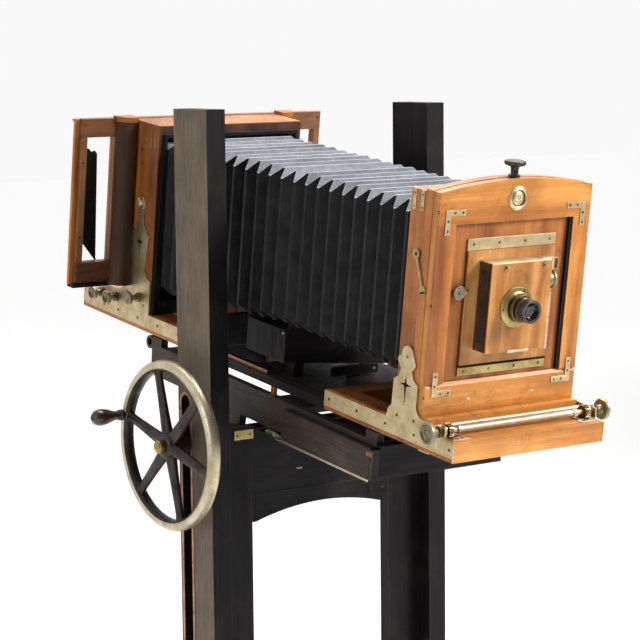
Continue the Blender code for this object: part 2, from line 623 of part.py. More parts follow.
def bellows(name, y0, y1):
    """Pleated tube: outer ridges and valleys, a wall, and open ends."""
    depth, wall = 0.0200, 0.0016
    stations = [y0 + (y1 - y0) * i / (2 * FOLDS) for i in range(2 * FOLDS + 1)]
    outer = [ring_points(y, depth if i % 2 == 0 else 0.0) for i, y in enumerate(stations)]
    inner = [ring_points(y, (depth if i % 2 == 0 else 0.0) + wall) for i, y in enumerate(stations)]
    bm = bmesh.new()
    rows = [[bm.verts.new(p) for p in ring] for ring in outer + inner[::-1]]
    for a, b in zip(rows, rows[1:] + rows[:1]):
        for i in range(8):
            bm.faces.new((a[i], a[(i + 1) % 8], b[(i + 1) % 8], b[i]))
    bmesh.ops.recalc_face_normals(bm, faces=bm.faces)
    mesh = bpy.data.meshes.new(name)
    bm.to_mesh(mesh)
    bm.free()
    return add(name, mesh, "bellows_cloth", origin=(0.0, y0, 0.0), on_bed=True)


bellows("bellows_front", BOX_Y1 + GAP, -0.0640 - GAP)
bellows("bellows_rear", -0.0560 + GAP, 0.3250)

bpy.context.view_layer.update()
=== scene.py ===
"""Detailed studio view camera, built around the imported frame."""
import json
import math
import random

import bmesh
import bpy
from mathutils import Matrix, Vector
from mathutils.geometry import tessellate_polygon

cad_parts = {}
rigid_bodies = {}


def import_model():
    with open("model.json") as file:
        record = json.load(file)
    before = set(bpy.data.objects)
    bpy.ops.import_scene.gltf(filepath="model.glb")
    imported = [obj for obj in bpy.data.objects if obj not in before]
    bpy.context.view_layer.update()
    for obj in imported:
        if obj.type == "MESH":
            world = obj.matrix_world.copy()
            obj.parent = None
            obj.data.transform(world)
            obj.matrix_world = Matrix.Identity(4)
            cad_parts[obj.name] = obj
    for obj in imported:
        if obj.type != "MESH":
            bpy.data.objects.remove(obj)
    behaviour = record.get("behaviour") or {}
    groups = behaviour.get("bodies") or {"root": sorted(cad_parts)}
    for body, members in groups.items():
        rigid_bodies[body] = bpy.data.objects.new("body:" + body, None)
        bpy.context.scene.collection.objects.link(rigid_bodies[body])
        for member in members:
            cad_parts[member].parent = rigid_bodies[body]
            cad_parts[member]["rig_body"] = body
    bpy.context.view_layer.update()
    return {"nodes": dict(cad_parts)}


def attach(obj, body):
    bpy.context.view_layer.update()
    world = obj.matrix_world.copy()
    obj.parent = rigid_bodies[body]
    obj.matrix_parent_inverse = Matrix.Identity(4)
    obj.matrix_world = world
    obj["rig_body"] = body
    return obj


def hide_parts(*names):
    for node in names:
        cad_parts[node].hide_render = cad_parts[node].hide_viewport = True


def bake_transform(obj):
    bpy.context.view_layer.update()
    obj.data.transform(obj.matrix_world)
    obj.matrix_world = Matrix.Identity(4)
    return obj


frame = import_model()
scene = bpy.context.scene
random.seed(7)

TILT = math.radians(7.73)
BED_HEIGHT = 1.0178
BED = Matrix.Translation((0.0, 0.0, BED_HEIGHT)) @ Matrix.Rotation(TILT, 4, "X")
LEVEL = Matrix.Identity(4)


# ---- camera, light and floor --------------------------------------------
def look(location, forward, right, up, lens):
    data = bpy.data.cameras.new("photo_camera")
    data.lens = lens
    data.sensor_width = 36.0
    data.clip_end = 60.0
    obj = bpy.data.objects.new("photo_camera", data)
    scene.collection.objects.link(obj)
    turn = Matrix((right, up, -forward)).transposed().to_4x4()
    obj.matrix_world = Matrix.Translation(location) @ turn
    scene.camera = obj


forward = Vector((0.5877, 0.7999, -0.1222)).normalized()
side = Vector((0.8059, -0.5921, 0.0)).normalized()
head = side.cross(forward)
roll = 0.01
look(
    Vector((-2.4088, -3.2956, 1.6017)),
    forward,
    side * math.cos(roll) - head * math.sin(roll),
    side * math.sin(roll) + head * math.cos(roll),
    128.5,
)


def soft_light(name, place, target, size, power, colour=(1.0, 1.0, 1.0)):
    data = bpy.data.lights.new(name, "AREA")
    data.shape = "RECTANGLE"
    data.size, data.size_y = size
    data.energy = power
    data.color = colour
    obj = bpy.data.objects.new(name, data)
    obj.location = place
    obj.rotation_euler = (Vector(target) - Vector(place)).to_track_quat("-Z", "Y").to_euler()
    scene.collection.objects.link(obj)


soft_light("key", (2.2, -2.9, 3.2), (0.0, -0.3, 1.1), (1.3, 1.3), 200.0, (1.0, 0.97, 0.93))
soft_light("top", (0.9, 0.4, 3.6), (0.0, 0.0, 1.1), (2.2, 2.2), 135.0)
soft_light("fill", (-3.4, -1.0, 2.2), (0.0, 0.0, 1.1), (2.0, 2.0), 26.0)

world = bpy.data.worlds.new("studio")
scene.world = world
world.use_nodes = True
world_nodes = world.node_tree
background = world_nodes.nodes["Background"]
where = world_nodes.nodes.new("ShaderNodeTexCoord")
split = world_nodes.nodes.new("ShaderNodeSeparateXYZ")
world_ramp = world_nodes.nodes.new("ShaderNodeValToRGB")
world_nodes.links.new(where.outputs["Generated"], split.inputs[0])
spread = world_nodes.nodes.new("ShaderNodeMath")
spread.operation = "MULTIPLY_ADD"
spread.inputs[1].default_value = 0.5
spread.inputs[2].default_value = 0.5
world_nodes.links.new(split.outputs["Y"], spread.inputs[0])
world_nodes.links.new(spread.outputs[0], world_ramp.inputs[0])
world_ramp.color_ramp.elements[0].position = 0.15
world_ramp.color_ramp.elements[0].color = (0.14, 0.14, 0.14, 1.0)
world_ramp.color_ramp.elements[1].position = 0.72
world_ramp.color_ramp.elements[1].color = (1.0, 1.0, 1.0, 1.0)
world_nodes.links.new(world_ramp.outputs[0], background.inputs["Color"])
background.inputs["Strength"].default_value = 0.95
scene.view_settings.view_transform = "Standard"


# ---- procedural materials -----------------------------------------------
class Finish:
    """One material and short calls that add nodes to it."""

    def __init__(self, name, metallic=0.0, coat=0.0, tilted=False):
        self.mat = bpy.data.materials.new(name)
        self.mat.use_nodes = True
        self.tree = self.mat.node_tree
        self.shader = self.tree.nodes["Principled BSDF"]
        self.shader.inputs["Metallic"].default_value = metallic
        self.shader.inputs["Coat Weight"].default_value = coat
        self.place = self.node("TexCoord").outputs["Object"]
        if tilted:
            turn = self.node("VectorRotate", rotation_type="X_AXIS")
            self.link(self.place, turn.inputs["Vector"])
            turn.inputs["Angle"].default_value = -TILT
            self.place = turn.outputs[0]

    def node(self, kind, **settings):
        made = self.tree.nodes.new("ShaderNode" + kind)
        for key, value in settings.items():
            setattr(made, key, value)
        return made

    def link(self, a, b):
        self.tree.links.new(a, b)

    def scaled(self, factors=(1.0, 1.0, 1.0), shift=(0.0, 0.0, 0.0)):
        made = self.node("VectorMath", operation="MULTIPLY_ADD")
        self.link(self.place, made.inputs[0])
        made.inputs[1].default_value = factors
        made.inputs[2].default_value = shift
        return made.outputs[0]

    def noise(self, vector, scale, detail=3.0, rough=0.55, distortion=0.0):
        made = self.node("TexNoise")
        self.link(vector, made.inputs["Vector"])
        made.inputs["Scale"].default_value = scale
        made.inputs["Detail"].default_value = detail
        made.inputs["Roughness"].default_value = rough
        made.inputs["Distortion"].default_value = distortion
        return made.outputs["Fac"]

    def ramp(self, value, stops):
        made = self.node("ValToRGB")
        self.link(value, made.inputs[0])
        bar = made.color_ramp
        while len(bar.elements) < len(stops):
            bar.elements.new(0.5)
        for element, (at, colour) in zip(bar.elements, stops):
            element.position = at
            element.color = (*colour, 1.0) if len(colour) == 3 else colour
        return made.outputs[0]

    def grey(self, value, low, high, at=(0.35, 0.65)):
        return self.ramp(value, [(at[0], (low,) * 3), (at[1], (high,) * 3)])

    def step(self, value, low, high, top=1.0):
        made = self.node("MapRange")
        self.link(value, made.inputs["Value"])
        made.inputs["From Min"].default_value = low
        made.inputs["From Max"].default_value = high
        made.inputs["To Max"].default_value = top
        return made.outputs[0]

    def parts(self, vector):
        """The X, Y and Z of a vector."""
        made = self.node("SeparateXYZ")
        self.link(vector, made.inputs[0])
        return made.outputs

    def facing(self):
        """The X, Y and Z of the way the surface faces."""
        return self.parts(self.node("NewGeometry").outputs["Normal"])

    def mix(self, factor, a, b, blend="MIX"):
        made = self.node("Mix", data_type="RGBA", blend_type=blend)
        for socket, value in ((made.inputs[0], factor), (made.inputs[6], a), (made.inputs[7], b)):
            if isinstance(value, (int, float)):
                socket.default_value = value
            elif isinstance(value, tuple):
                socket.default_value = (*value, 1.0)
            else:
                self.link(value, socket)
        return made.outputs[2]

    def times(self, factor, a, b):
        return self.mix(factor, a, b, "MULTIPLY")

    def bump(self, height, strength, distance, below=None):
        made = self.node("Bump")
        self.link(height, made.inputs["Height"])
        made.inputs["Strength"].default_value = strength
        made.inputs["Distance"].default_value = distance
        if below is not None:
            self.link(below, made.inputs["Normal"])
        return made.outputs[0]

    def edge(self, radius):
        """Bright where the surface turns, for rubbed edges; on the bellows cloth also a painted
        highlight.
        """
        rounded = self.node("Bevel", samples=4)
        rounded.inputs["Radius"].default_value = radius
        plain = self.node("NewGeometry")
        dot = self.node("VectorMath", operation="DOT_PRODUCT")
        self.link(rounded.outputs[0], dot.inputs[0])
        self.link(plain.outputs["Normal"], dot.inputs[1])
        return self.ramp(dot.outputs["Value"], [(0.78, (1.0,) * 3), (0.97, (0.0,) * 3)])

    def finish(self, colour, rough, normal=None):
        self.link(colour, self.shader.inputs["Base Color"])
        self.link(rough, self.shader.inputs["Roughness"])
        if normal is not None:
            self.link(normal, self.shader.inputs["Normal"])
        return self.mat


ALONG = {"X": (0.07, 1.0, 1.0), "Y": (1.0, 0.07, 1.0), "Z": (1.0, 1.0, 0.07)}
FIBRE = {"X": (0.03, 1.0, 1.0), "Y": (1.0, 0.03, 1.0), "Z": (1.0, 1.0, 0.03)}


def wood(name, tones, grain, gloss=0.4, coat=0.1, tilted=False, shift=0.0, dirt=0.5, painted_shade_y=None):
    """Varnished wood: soft figure, fibres, uneven tone and a worn, slightly dirty surface; given a line,
    also painted shade on the bed board.
    """
    f = Finish(name, coat=coat, tilted=tilted)
    f.shader.inputs["Coat Roughness"].default_value = 0.28
    f.shader.inputs["Specular IOR Level"].default_value = 0.35
    move = (shift, shift * 0.7, shift * 1.3)
    figure = f.noise(f.scaled(ALONG[grain], move), 14.0, 4.0, 0.55, 0.8)
    bands = f.noise(f.scaled(ALONG[grain], move), 70.0, 4.0, 0.55, 0.3)
    fibre = f.noise(f.scaled(FIBRE[grain], move), 900.0, 3.0, 0.6)
    patch = f.noise(f.scaled(shift=move), 9.0, 3.0)
    dark, mid, light = tones
    base = f.ramp(figure, [(0.36, dark), (0.5, mid), (0.64, light)])
    base = f.times(0.55, base, f.grey(bands, 0.62, 1.12, (0.34, 0.6)))
    base = f.times(0.45, base, f.grey(fibre, 0.6, 1.06, (0.34, 0.6)))
    base = f.times(0.75, base, f.ramp(patch, [(0.34, (0.68, 0.56, 0.44)), (0.58, (1.08, 1.06, 1.02))]))
    stain = f.noise(f.scaled(shift=move), 24.0, 5.0, 0.65, 0.6)
    base = f.times(0.6, base, f.ramp(stain, [(0.3, (0.52, 0.38, 0.26)), (0.44, (1.0, 1.0, 1.0))]))
    spots = f.noise(f.scaled(shift=move), 140.0, 4.0, 0.7)
    base = f.times(dirt, base, f.ramp(spots, [(0.26, (0.35, 0.22, 0.14)), (0.38, (1.0, 1.0, 1.0))]))
    worn = f.times(1.0, f.edge(0.0016), f.grey(patch, 0.15, 0.85, (0.38, 0.6)))
    base = f.mix(worn, base, tuple(min(0.85, c * 1.25 + 0.03) for c in light))
    if painted_shade_y is not None:
        # painted shade: past the line and between the trims, the bed top and the walls of its opening are
        # darkened as shade
        at = f.parts(f.place)
        line = BED_HEIGHT * math.sin(TILT) + painted_shade_y
        painted_shade_mask = f.step(at["Y"], line - 0.0008, line + 0.0008)
        painted_shade_mask = f.times(1.0, painted_shade_mask, f.step(at["X"], -0.1506, -0.1496))
        painted_shade_mask = f.times(1.0, painted_shade_mask, f.step(at["X"], 0.1506, 0.1496))
        base = f.mix(painted_shade_mask, base, f.times(1.0, base, (0.36, 0.29, 0.26)))
        # painted shade: faces turned to -X are darkened as shade
        facing = f.facing()
        base = f.mix(f.step(facing["X"], -0.5, -0.9), base, f.times(1.0, base, (0.55, 0.42, 0.34)))
    rough = f.grey(bands, gloss + 0.12, gloss - 0.06)
    return f.finish(base, rough, f.bump(fibre, 0.22, 0.0004, f.bump(bands, 0.07, 0.001)))


def black_wood(name, grain, tilted=False, scuff=0.45, gloss=0.46, painted_side_light=0.0):
    """Ebonised wood rubbed through to brown and grey, greyer where dust lies on what faces up, and when
    asked with a painted pale reflection on faces turned to -X.
    """
    f = Finish(name, tilted=tilted)
    f.shader.inputs["Specular IOR Level"].default_value = 0.17
    fibre = f.noise(f.scaled(FIBRE[grain]), 700.0, 4.0, 0.6)
    streak = f.noise(f.scaled(ALONG[grain]), 60.0, 5.0, 0.65, 0.4)
    cloud = f.noise(f.scaled(), 11.0, 4.0, 0.6)
    base = f.ramp(streak, [(0.35, (0.003, 0.0024, 0.003)), (0.65, (0.0075, 0.0062, 0.0072))])
    base = f.times(0.6, base, f.grey(fibre, 0.5, 1.15))
    rubbed = f.times(1.0, f.grey(cloud, 0.0, scuff, (0.52, 0.78)), f.grey(fibre, 0.15, 1.0, (0.45, 0.7)))
    base = f.mix(rubbed, base, (0.07, 0.056, 0.048))
    facing = f.facing()
    # painted reflection: faces turned to -X get a pale warm brown, standing for light reflected from the
    # left
    if painted_side_light:
        painted_side_mask = f.step(facing["X"], -0.35, -0.9, painted_side_light)
        painted_side_share = f.times(1.0, painted_side_mask, f.grey(cloud, 0.7, 1.0))
        base = f.mix(painted_side_share, base, f.mix(f.grey(fibre, 0.0, 1.0), (0.115, 0.081, 0.054), (0.205, 0.155,
            0.108)))
    dust = f.times(1.0, f.grey(facing["Z"], 0.0, 0.4, (0.55, 0.95)), f.grey(cloud, 0.35, 1.0))
    base = f.mix(dust, base, (0.07, 0.064, 0.06))
    base = f.mix(f.times(1.0, f.edge(0.0016), f.grey(cloud, 0.0, 0.8, (0.4, 0.62))), base,
        (0.12, 0.092, 0.072))
    rough = f.grey(streak, gloss + 0.16, gloss - 0.04)
    return f.finish(base, rough, f.bump(fibre, 0.22, 0.0004))


def metal(name, tones, rough=(0.3, 0.46), speck=(0.1, 0.07, 0.04), specks=0.7, metallic=1.0, worn=None,
    coat=0.0):
    """Handled metal: cloudy tarnish, fine scratches and dark specks."""
    f = Finish(name, metallic=metallic, coat=coat)
    cloud = f.noise(f.scaled(), 38.0, 5.0, 0.62)
    fine = f.noise(f.scaled(), 620.0, 3.0, 0.6)
    pits = f.noise(f.scaled(), 210.0, 3.0, 0.75)
    base = f.ramp(cloud, [(0.32, tones[0]), (0.66, tones[1])])
    base = f.times(specks, base, f.ramp(pits, [(0.27, speck), (0.36, (1.0, 1.0, 1.0))]))
    if worn is not None:
        base = f.mix(f.edge(0.0012), base, worn)
    roughness = f.grey(cloud, rough[1], rough[0], (0.3, 0.7))
    return f.finish(base, roughness, f.bump(fine, 0.1, 0.0003))


def cloth(name):
    """Black bellows cloth, leathery, with dust and painted sheen on what faces up, painted light on faces
    turned away from the key, and ridges lightened by wear and a painted highlight.
    """
    f = Finish(name)
    f.shader.inputs["Sheen Weight"].default_value = 0.1
    f.shader.inputs["Specular IOR Level"].default_value = 0.25
    f.shader.inputs["Sheen Roughness"].default_value = 0.45
    f.shader.inputs["Sheen Tint"].default_value = (0.8, 0.8, 0.92, 1.0)
    grain = f.node("TexVoronoi", feature="DISTANCE_TO_EDGE")
    f.link(f.scaled(), grain.inputs["Vector"])
    grain.inputs["Scale"].default_value = 750.0
    fine = f.noise(f.scaled(), 1300.0, 3.0, 0.6)
    cloud = f.noise(f.scaled(), 24.0, 5.0, 0.65)
    crease = f.noise(f.scaled((1.0, 0.15, 1.0)), 85.0, 4.0, 0.6)
    base = f.ramp(cloud, [(0.35, (0.0065, 0.0064, 0.007)), (0.65, (0.014, 0.0137, 0.0148))])
    base = f.times(0.5, base, f.grey(crease, 0.6, 1.2))
    facing = f.facing()
    # painted light: faces turned to +Y, away from the key light, get a lighter colour
    away = f.step(facing["Y"], -0.75, 0.75)
    # dust and painted sheen: what faces up turns grey, flattest tops a darker grey
    dust_and_sheen_mask = f.times(1.0, f.grey(facing["Z"], 0.0, 1.0, (0.25, 0.66)), f.grey(cloud, 0.78, 1.0))
    # ridges lightened: wear, and partly a painted highlight where gloss would catch light
    base = f.mix(f.times(1.0, f.edge(0.0012), f.grey(fine, 0.25, 0.9)), base, (0.1, 0.1, 0.105))
    dust = f.mix(f.mix(0.25, away, f.grey(crease, 0.0, 1.0)), (0.235, 0.245, 0.285), (0.53, 0.545, 0.6))
    dust = f.mix(f.step(facing["Z"], 0.8, 0.95), dust, (0.25, 0.26, 0.3))
    base = f.mix(dust_and_sheen_mask, base, dust)
    rough = f.grey(cloud, 0.7, 0.54)
    normal = f.bump(grain.outputs["Distance"], 0.3, 0.0006, f.bump(crease, 0.18, 0.002))
    return f.finish(base, rough, f.bump(fine, 0.12, 0.0003, normal))


def glass(name, colour, rough, transmission):
    f = Finish(name)
    f.shader.inputs["Transmission Weight"].default_value = transmission
    f.shader.inputs["IOR"].default_value = 1.52
    haze = f.noise(f.scaled(), 60.0, 3.0)
    base = f.ramp(haze, [(0.3, tuple(c * 0.93 for c in colour)), (0.7, colour)])
    return f.finish(base, f.grey(haze, rough, rough * 1.6 + 0.01))


HONEY = ((0.36, 0.12, 0.018), (0.58, 0.228, 0.044), (0.74, 0.335, 0.08))
AMBER = ((0.26, 0.075, 0.01), (0.44, 0.15, 0.024), (0.58, 0.22, 0.044))
GOLD = ((0.4, 0.165, 0.034), (0.6, 0.275, 0.076), (0.74, 0.38, 0.13))
RUSSET = ((0.21, 0.064, 0.011), (0.38, 0.13, 0.024), (0.5, 0.195, 0.042))
BROWN = ((0.09, 0.034, 0.012), (0.165, 0.066, 0.024), (0.245, 0.105, 0.042))
DEEP = ((0.024, 0.008, 0.003), (0.052, 0.018, 0.006), (0.1, 0.036, 0.012))
UMBER = ((0.034, 0.017, 0.01), (0.068, 0.034, 0.019), (0.115, 0.06, 0.033))

M = {}
for axis in "XZ":
    M["honey_" + axis] = wood("honey_wood_" + axis, HONEY, axis, shift=ord(axis) * 0.37)
    M["russet_" + axis] = wood("russet_wood_" + axis, RUSSET, axis, shift=ord(axis) * 0.21)
    M["brown_" + axis] = wood("brown_wood_" + axis, BROWN, axis, shift=ord(axis) * 0.13)
M["honey_cad_X"] = wood("honey_wood_level_X", HONEY, "X", tilted=True, shift=ord("X") * 0.53)
for axis in "YZ":
    M["russet_cad_" + axis] = wood("russet_wood_level_" + axis, RUSSET, axis, tilted=True,
        shift=ord(axis) * 0.77)
for axis in "XYZ":
    M["black_" + axis] = black_wood("black_wood_" + axis, axis)
    M["black_cad_" + axis] = black_wood("black_wood_level_" + axis, axis, tilted=True)
# the left post and the side board finishes carry a painted pale reflection on their -X faces, besides
# their scuffs
M["post"] = black_wood("post_wood", "Z", painted_side_light=0.92)
M["worn_painted_light_Y"] = black_wood("worn_black_wood_painted_light", "Y", scuff=1.0, gloss=0.36, painted_side_light=0.3)
M["worn_painted_light_cad_Y"] = black_wood("worn_black_board_painted_light", "Y", tilted=True, scuff=1.0, gloss=0.4, painted_side_light=0.3)
M["gold_cad_Z"] = wood("golden_board", GOLD, "Z", tilted=True, shift=3.1)
M["gold_Z"] = wood("golden_face", GOLD, "Z", shift=8.3)
M["amber_Z"] = wood("amber_stile", AMBER, "Z", shift=2.3)
M["deep_Z"] = wood("deep_column", DEEP, "Z", gloss=0.5, coat=0.0, shift=1.9)
# the bed board carries painted shade on its inner top, its opening walls and its faces turned to -X
M["bed_top"] = wood("bed_board_wood", HONEY, "X", tilted=True, shift=5.7, painted_shade_y=-0.42)
M["umber"] = wood("umber_wood", UMBER, "Z", gloss=0.42, coat=0.2)
M["handle"] = wood("handle_wood", ((0.025, 0.011, 0.006), (0.07, 0.032, 0.018), (0.12, 0.06, 0.034)), "X",
    gloss=0.26, coat=0.6)
M["brass"] = metal("pale_brass", ((0.44, 0.335, 0.175), (0.62, 0.51, 0.31)), rough=(0.34, 0.5),
    worn=(0.78, 0.68, 0.47))
M["aged"] = metal("aged_brass", ((0.17, 0.14, 0.085), (0.34, 0.295, 0.2)), rough=(0.38, 0.54),
    worn=(0.66, 0.6, 0.45))
M["polished"] = metal("polished_brass", ((0.52, 0.45, 0.33), (0.7, 0.63, 0.5)), rough=(0.3, 0.44),
    specks=0.5)
M["golden"] = metal("golden_brass", ((0.27, 0.195, 0.065), (0.47, 0.365, 0.155)), rough=(0.28, 0.42),
    worn=(0.78, 0.66, 0.38))
M["cream"] = metal("dull_rod", ((0.42, 0.35, 0.25), (0.58, 0.5, 0.39)), rough=(0.46, 0.6), metallic=0.7,
    specks=0.5)
M["bronze"] = metal("dark_bronze", ((0.085, 0.052, 0.026), (0.2, 0.135, 0.07)), rough=(0.28, 0.42),
    worn=(0.55, 0.42, 0.22))
M["rim"] = metal("rim_brass", ((0.46, 0.375, 0.235), (0.68, 0.61, 0.465)), rough=(0.34, 0.52),
    speck=(0.25, 0.16, 0.08), specks=0.9)
M["copper"] = metal("red_brass", ((0.3, 0.15, 0.09), (0.52, 0.31, 0.21)), rough=(0.34, 0.5))
M["iron"] = metal("dark_iron", ((0.032, 0.027, 0.025), (0.078, 0.066, 0.06)), rough=(0.38, 0.54),
    specks=0.4, worn=(0.2, 0.17, 0.15))
M["screw"] = metal("screw_bronze", ((0.045, 0.028, 0.015), (0.12, 0.08, 0.045)), rough=(0.35, 0.5))
M["steel"] = metal("bright_steel", ((0.45, 0.44, 0.42), (0.7, 0.69, 0.66)), rough=(0.2, 0.36), specks=0.3)
M["lacquer"] = metal("black_lacquer", ((0.01, 0.01, 0.011), (0.022, 0.021, 0.021)), rough=(0.2, 0.34),
    metallic=0.0, specks=0.2, worn=(0.16, 0.13, 0.09), coat=0.5)
M["cloth"] = cloth("bellows_cloth")
M["lens"] = glass("lens_glass", (0.86, 0.92, 0.95), 0.01, 1.0)
M["ground"] = glass("ground_glass", (0.8, 0.85, 0.84), 0.42, 0.75)
# dark finish for the rear bellows frame, and for the painted shadow pieces in the jambs, star holes and
# round the lens board
M["dark"] = black_wood("dark_lining_and_painted_shadow", "Z", scuff=0.1, gloss=0.55)


# ---- modelling helpers --------------------------------------------------
AXES = {
    "Z": Matrix.Identity(3),
    "-Z": Matrix.Rotation(math.pi, 3, "X"),
    "X": Matrix.Rotation(math.radians(90), 3, "Y"),
    "-X": Matrix.Rotation(math.radians(-90), 3, "Y"),
    "Y": Matrix.Rotation(math.radians(-90), 3, "X"),
    "-Y": Matrix.Rotation(math.radians(90), 3, "X"),
}
PLANES = {
    "XY": lambda a, b, h: (a, b, h),
    "XZ": lambda a, b, h: (a, h, b),
    "YZ": lambda a, b, h: (h, a, b),
}


def rect(x0, x1, y0, y1):
    return [(x0, y0), (x1, y0), (x1, y1), (x0, y1)]


def arc(cx, cy, r, start, end, steps):
    angles = [math.radians(start + (end - start) * i / steps) for i in range(steps + 1)]
    return [(cx + r * math.cos(a), cy + r * math.sin(a)) for a in angles]


def circle(cx, cy, r, steps=32):
    return arc(cx, cy, r, 0, 360, steps)[:-1]


def rounded(x0, x1, y0, y1, r, steps=5):
    pts = arc(x1 - r, y0 + r, r, -90, 0, steps) + arc(x1 - r, y1 - r, r, 0, 90, steps)
    return pts + arc(x0 + r, y1 - r, r, 90, 180, steps) + arc(x0 + r, y0 + r, r, 180, 270, steps)


class Solid:
    """Closed shells of one finish, gathered into one mesh."""

    def __init__(self):
        self.bm = bmesh.new()

    def box(self, x, y, z, turn=None):
        size = Matrix.Diagonal((x[1] - x[0], y[1] - y[0], z[1] - z[0], 1.0))
        mid = Matrix.Translation(((x[1] + x[0]) / 2, (y[1] + y[0]) / 2, (z[1] + z[0]) / 2))
        bmesh.ops.create_cube(self.bm, size=1.0, matrix=mid @ (turn or LEVEL) @ size)
        return self

    def rod(self, a, b, r0, r1=None, steps=24):
        a, b = Vector(a), Vector(b)
        turn = (b - a).to_track_quat("Z", "Y").to_matrix().to_4x4()
        r1 = r0 if r1 is None else r1
        bmesh.ops.create_cone(self.bm, cap_ends=True, segments=steps, radius1=r0, radius2=r1,
                              depth=(b - a).length, matrix=Matrix.Translation((a + b) / 2) @ turn)
        return self

    def ball(self, centre, r, scale=(1.0, 1.0, 1.0), steps=20):
        size = Matrix.Diagonal((*scale, 1.0))
        bmesh.ops.create_uvsphere(self.bm, u_segments=steps, v_segments=steps // 2, radius=r,
                                  matrix=Matrix.Translation(centre) @ size)
        return self

    def lathe(self, centre, axis, profile, steps=32, closed=False):
        turn = AXES[axis]
        rings = []
        for r, h in profile:
            if r < 1e-7:
                rings.append([self.bm.verts.new(Vector(centre) + turn @ Vector((0, 0, h)))])
                continue
            angles = [2 * math.pi * i / steps for i in range(steps)]
            points = [turn @ Vector((r * math.cos(a), r * math.sin(a), h)) for a in angles]
            rings.append([self.bm.verts.new(Vector(centre) + p) for p in points])
        for a, b in zip(rings, rings[1:] + (rings[:1] if closed else [])):
            for i in range(steps):
                j = (i + 1) % steps
                corners = [a[i % len(a)], a[j % len(a)], b[j % len(b)], b[i % len(b)]]
                face = list(dict.fromkeys(corners))
                if len(face) > 2:
                    self.bm.faces.new(face)
        return self

    def plate(self, plane, loops, low, high):
        at = PLANES[plane]
        flat = [p for loop in loops for p in loop]
        fill = tessellate_polygon([[Vector((a, b, 0.0)) for a, b in loop] for loop in loops])
        bottom = [self.bm.verts.new(at(a, b, low)) for a, b in flat]
        top = [self.bm.verts.new(at(a, b, high)) for a, b in flat]
        for tri in fill:
            self.bm.faces.new([bottom[i] for i in tri])
            self.bm.faces.new([top[i] for i in tri])
        start = 0
        for loop in loops:
            n = len(loop)
            for i in range(n):
                a, b = start + i, start + (i + 1) % n
                self.bm.faces.new((bottom[a], bottom[b], top[b], top[a]))
            start += n
        return self

    def loft(self, rings, caps=True):
        """Skin a row of rings of points, and close both ends."""
        rings = [[self.bm.verts.new(p) for p in ring] for ring in rings]
        for a, b in zip(rings, rings[1:]):
            for i in range(len(a)):
                j = (i + 1) % len(a)
                self.bm.faces.new((a[i], a[j], b[j], b[i]))
        if caps:
            self.bm.faces.new(rings[0])
            self.bm.faces.new(rings[-1])
        return self

    def tube(self, points, r, steps=10):
        points = [Vector(p) for p in points]
        rings = []
        for i, p in enumerate(points):
            ahead = points[min(i + 1, len(points) - 1)] - points[max(i - 1, 0)]
            turn = ahead.to_track_quat("Z", "Y").to_matrix()
            angles = [2 * math.pi * k / steps for k in range(steps)]
            rings.append([p + turn @ Vector((r * math.cos(a), r * math.sin(a), 0)) for a in angles])
        return self.loft(rings)

    def mirrored(self):
        """Add the same shells on the other side of X."""
        copy = bmesh.ops.duplicate(self.bm, geom=self.bm.verts[:] + self.bm.edges[:] + self.bm.faces[:])
        verts = [g for g in copy["geom"] if isinstance(g, bmesh.types.BMVert)]
        for v in verts:
            v.co.x = -v.co.x
        return self

    def done(self, name, material, body, bed=True, bevel=0.0, segments=2, smooth=30.0, stands_for=()):
        bmesh.ops.recalc_face_normals(self.bm, faces=self.bm.faces)
        mesh = bpy.data.meshes.new(name)
        self.bm.to_mesh(mesh)
        self.bm.free()
        mesh.materials.append(M[material])
        for face in mesh.polygons:
            face.use_smooth = True
        obj = bpy.data.objects.new(name, mesh)
        scene.collection.objects.link(obj)
        obj.matrix_world = BED if bed else LEVEL
        if bevel:
            round_edges(obj, bevel, segments)
        else:
            mesh.set_sharp_from_angle(angle=math.radians(smooth))
        if stands_for:
            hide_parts(*stands_for)
        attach(obj, body)
        return obj


def round_edges(obj, width, segments=2):
    mod = obj.modifiers.new("round", "BEVEL")
    mod.width = width
    mod.segments = segments
    mod.limit_method = "ANGLE"
    mod.angle_limit = math.radians(30.0)
    mod.harden_normals = True
    return mod


def keep(node, material, bevel=0.0, segments=2):
    """Carry a CAD node over with a finish and, if asked, softened edges."""
    obj = frame["nodes"][node]
    obj.data.materials.clear()
    obj.data.materials.append(M[material])
    for face in obj.data.polygons:
        face.use_smooth = True
    if bevel:
        round_edges(obj, bevel, segments)
    else:
        obj.data.set_sharp_from_angle(angle=math.radians(30.0))
    return obj


def screws(name, spots, normal, body, r=0.0026, bed=True, material="screw"):
    """Slotted screw heads, each turned its own way."""
    out = Solid()
    turn = AXES[normal]
    for spot in spots:
        angle = random.uniform(0, math.pi)
        gap = math.degrees(math.asin(0.17))
        for half in (0, 180):
            loop = arc(0, 0, r, gap + half, 180 - gap + half, 8)
            points = [Vector((a, b, 0.0)) for a, b in loop]
            spin = Matrix.Rotation(angle, 3, "Z")
            top = [p * 0.86 + Vector((0, 0, r * 0.22)) for p in points]
            out.loft([[Vector(spot) + turn @ (spin @ p) for p in ring] for ring in (points, top)])
    return out.done(name, material, body, bed=bed)


def gear_outline(cy, cz, root, tip, teeth, towards):
    """Closed outline of a pinion with a tooth space facing the angle `towards`."""
    pitch = 2 * math.pi / teeth
    outline = []
    for i in range(teeth):
        mid = towards + (i + 0.5) * pitch
        for r, off in ((root, -0.36), (tip, -0.14), (tip, 0.14), (root, 0.36)):
            a = mid + off * pitch
            outline.append((cy + r * math.cos(a), cz + r * math.sin(a)))
    return outline


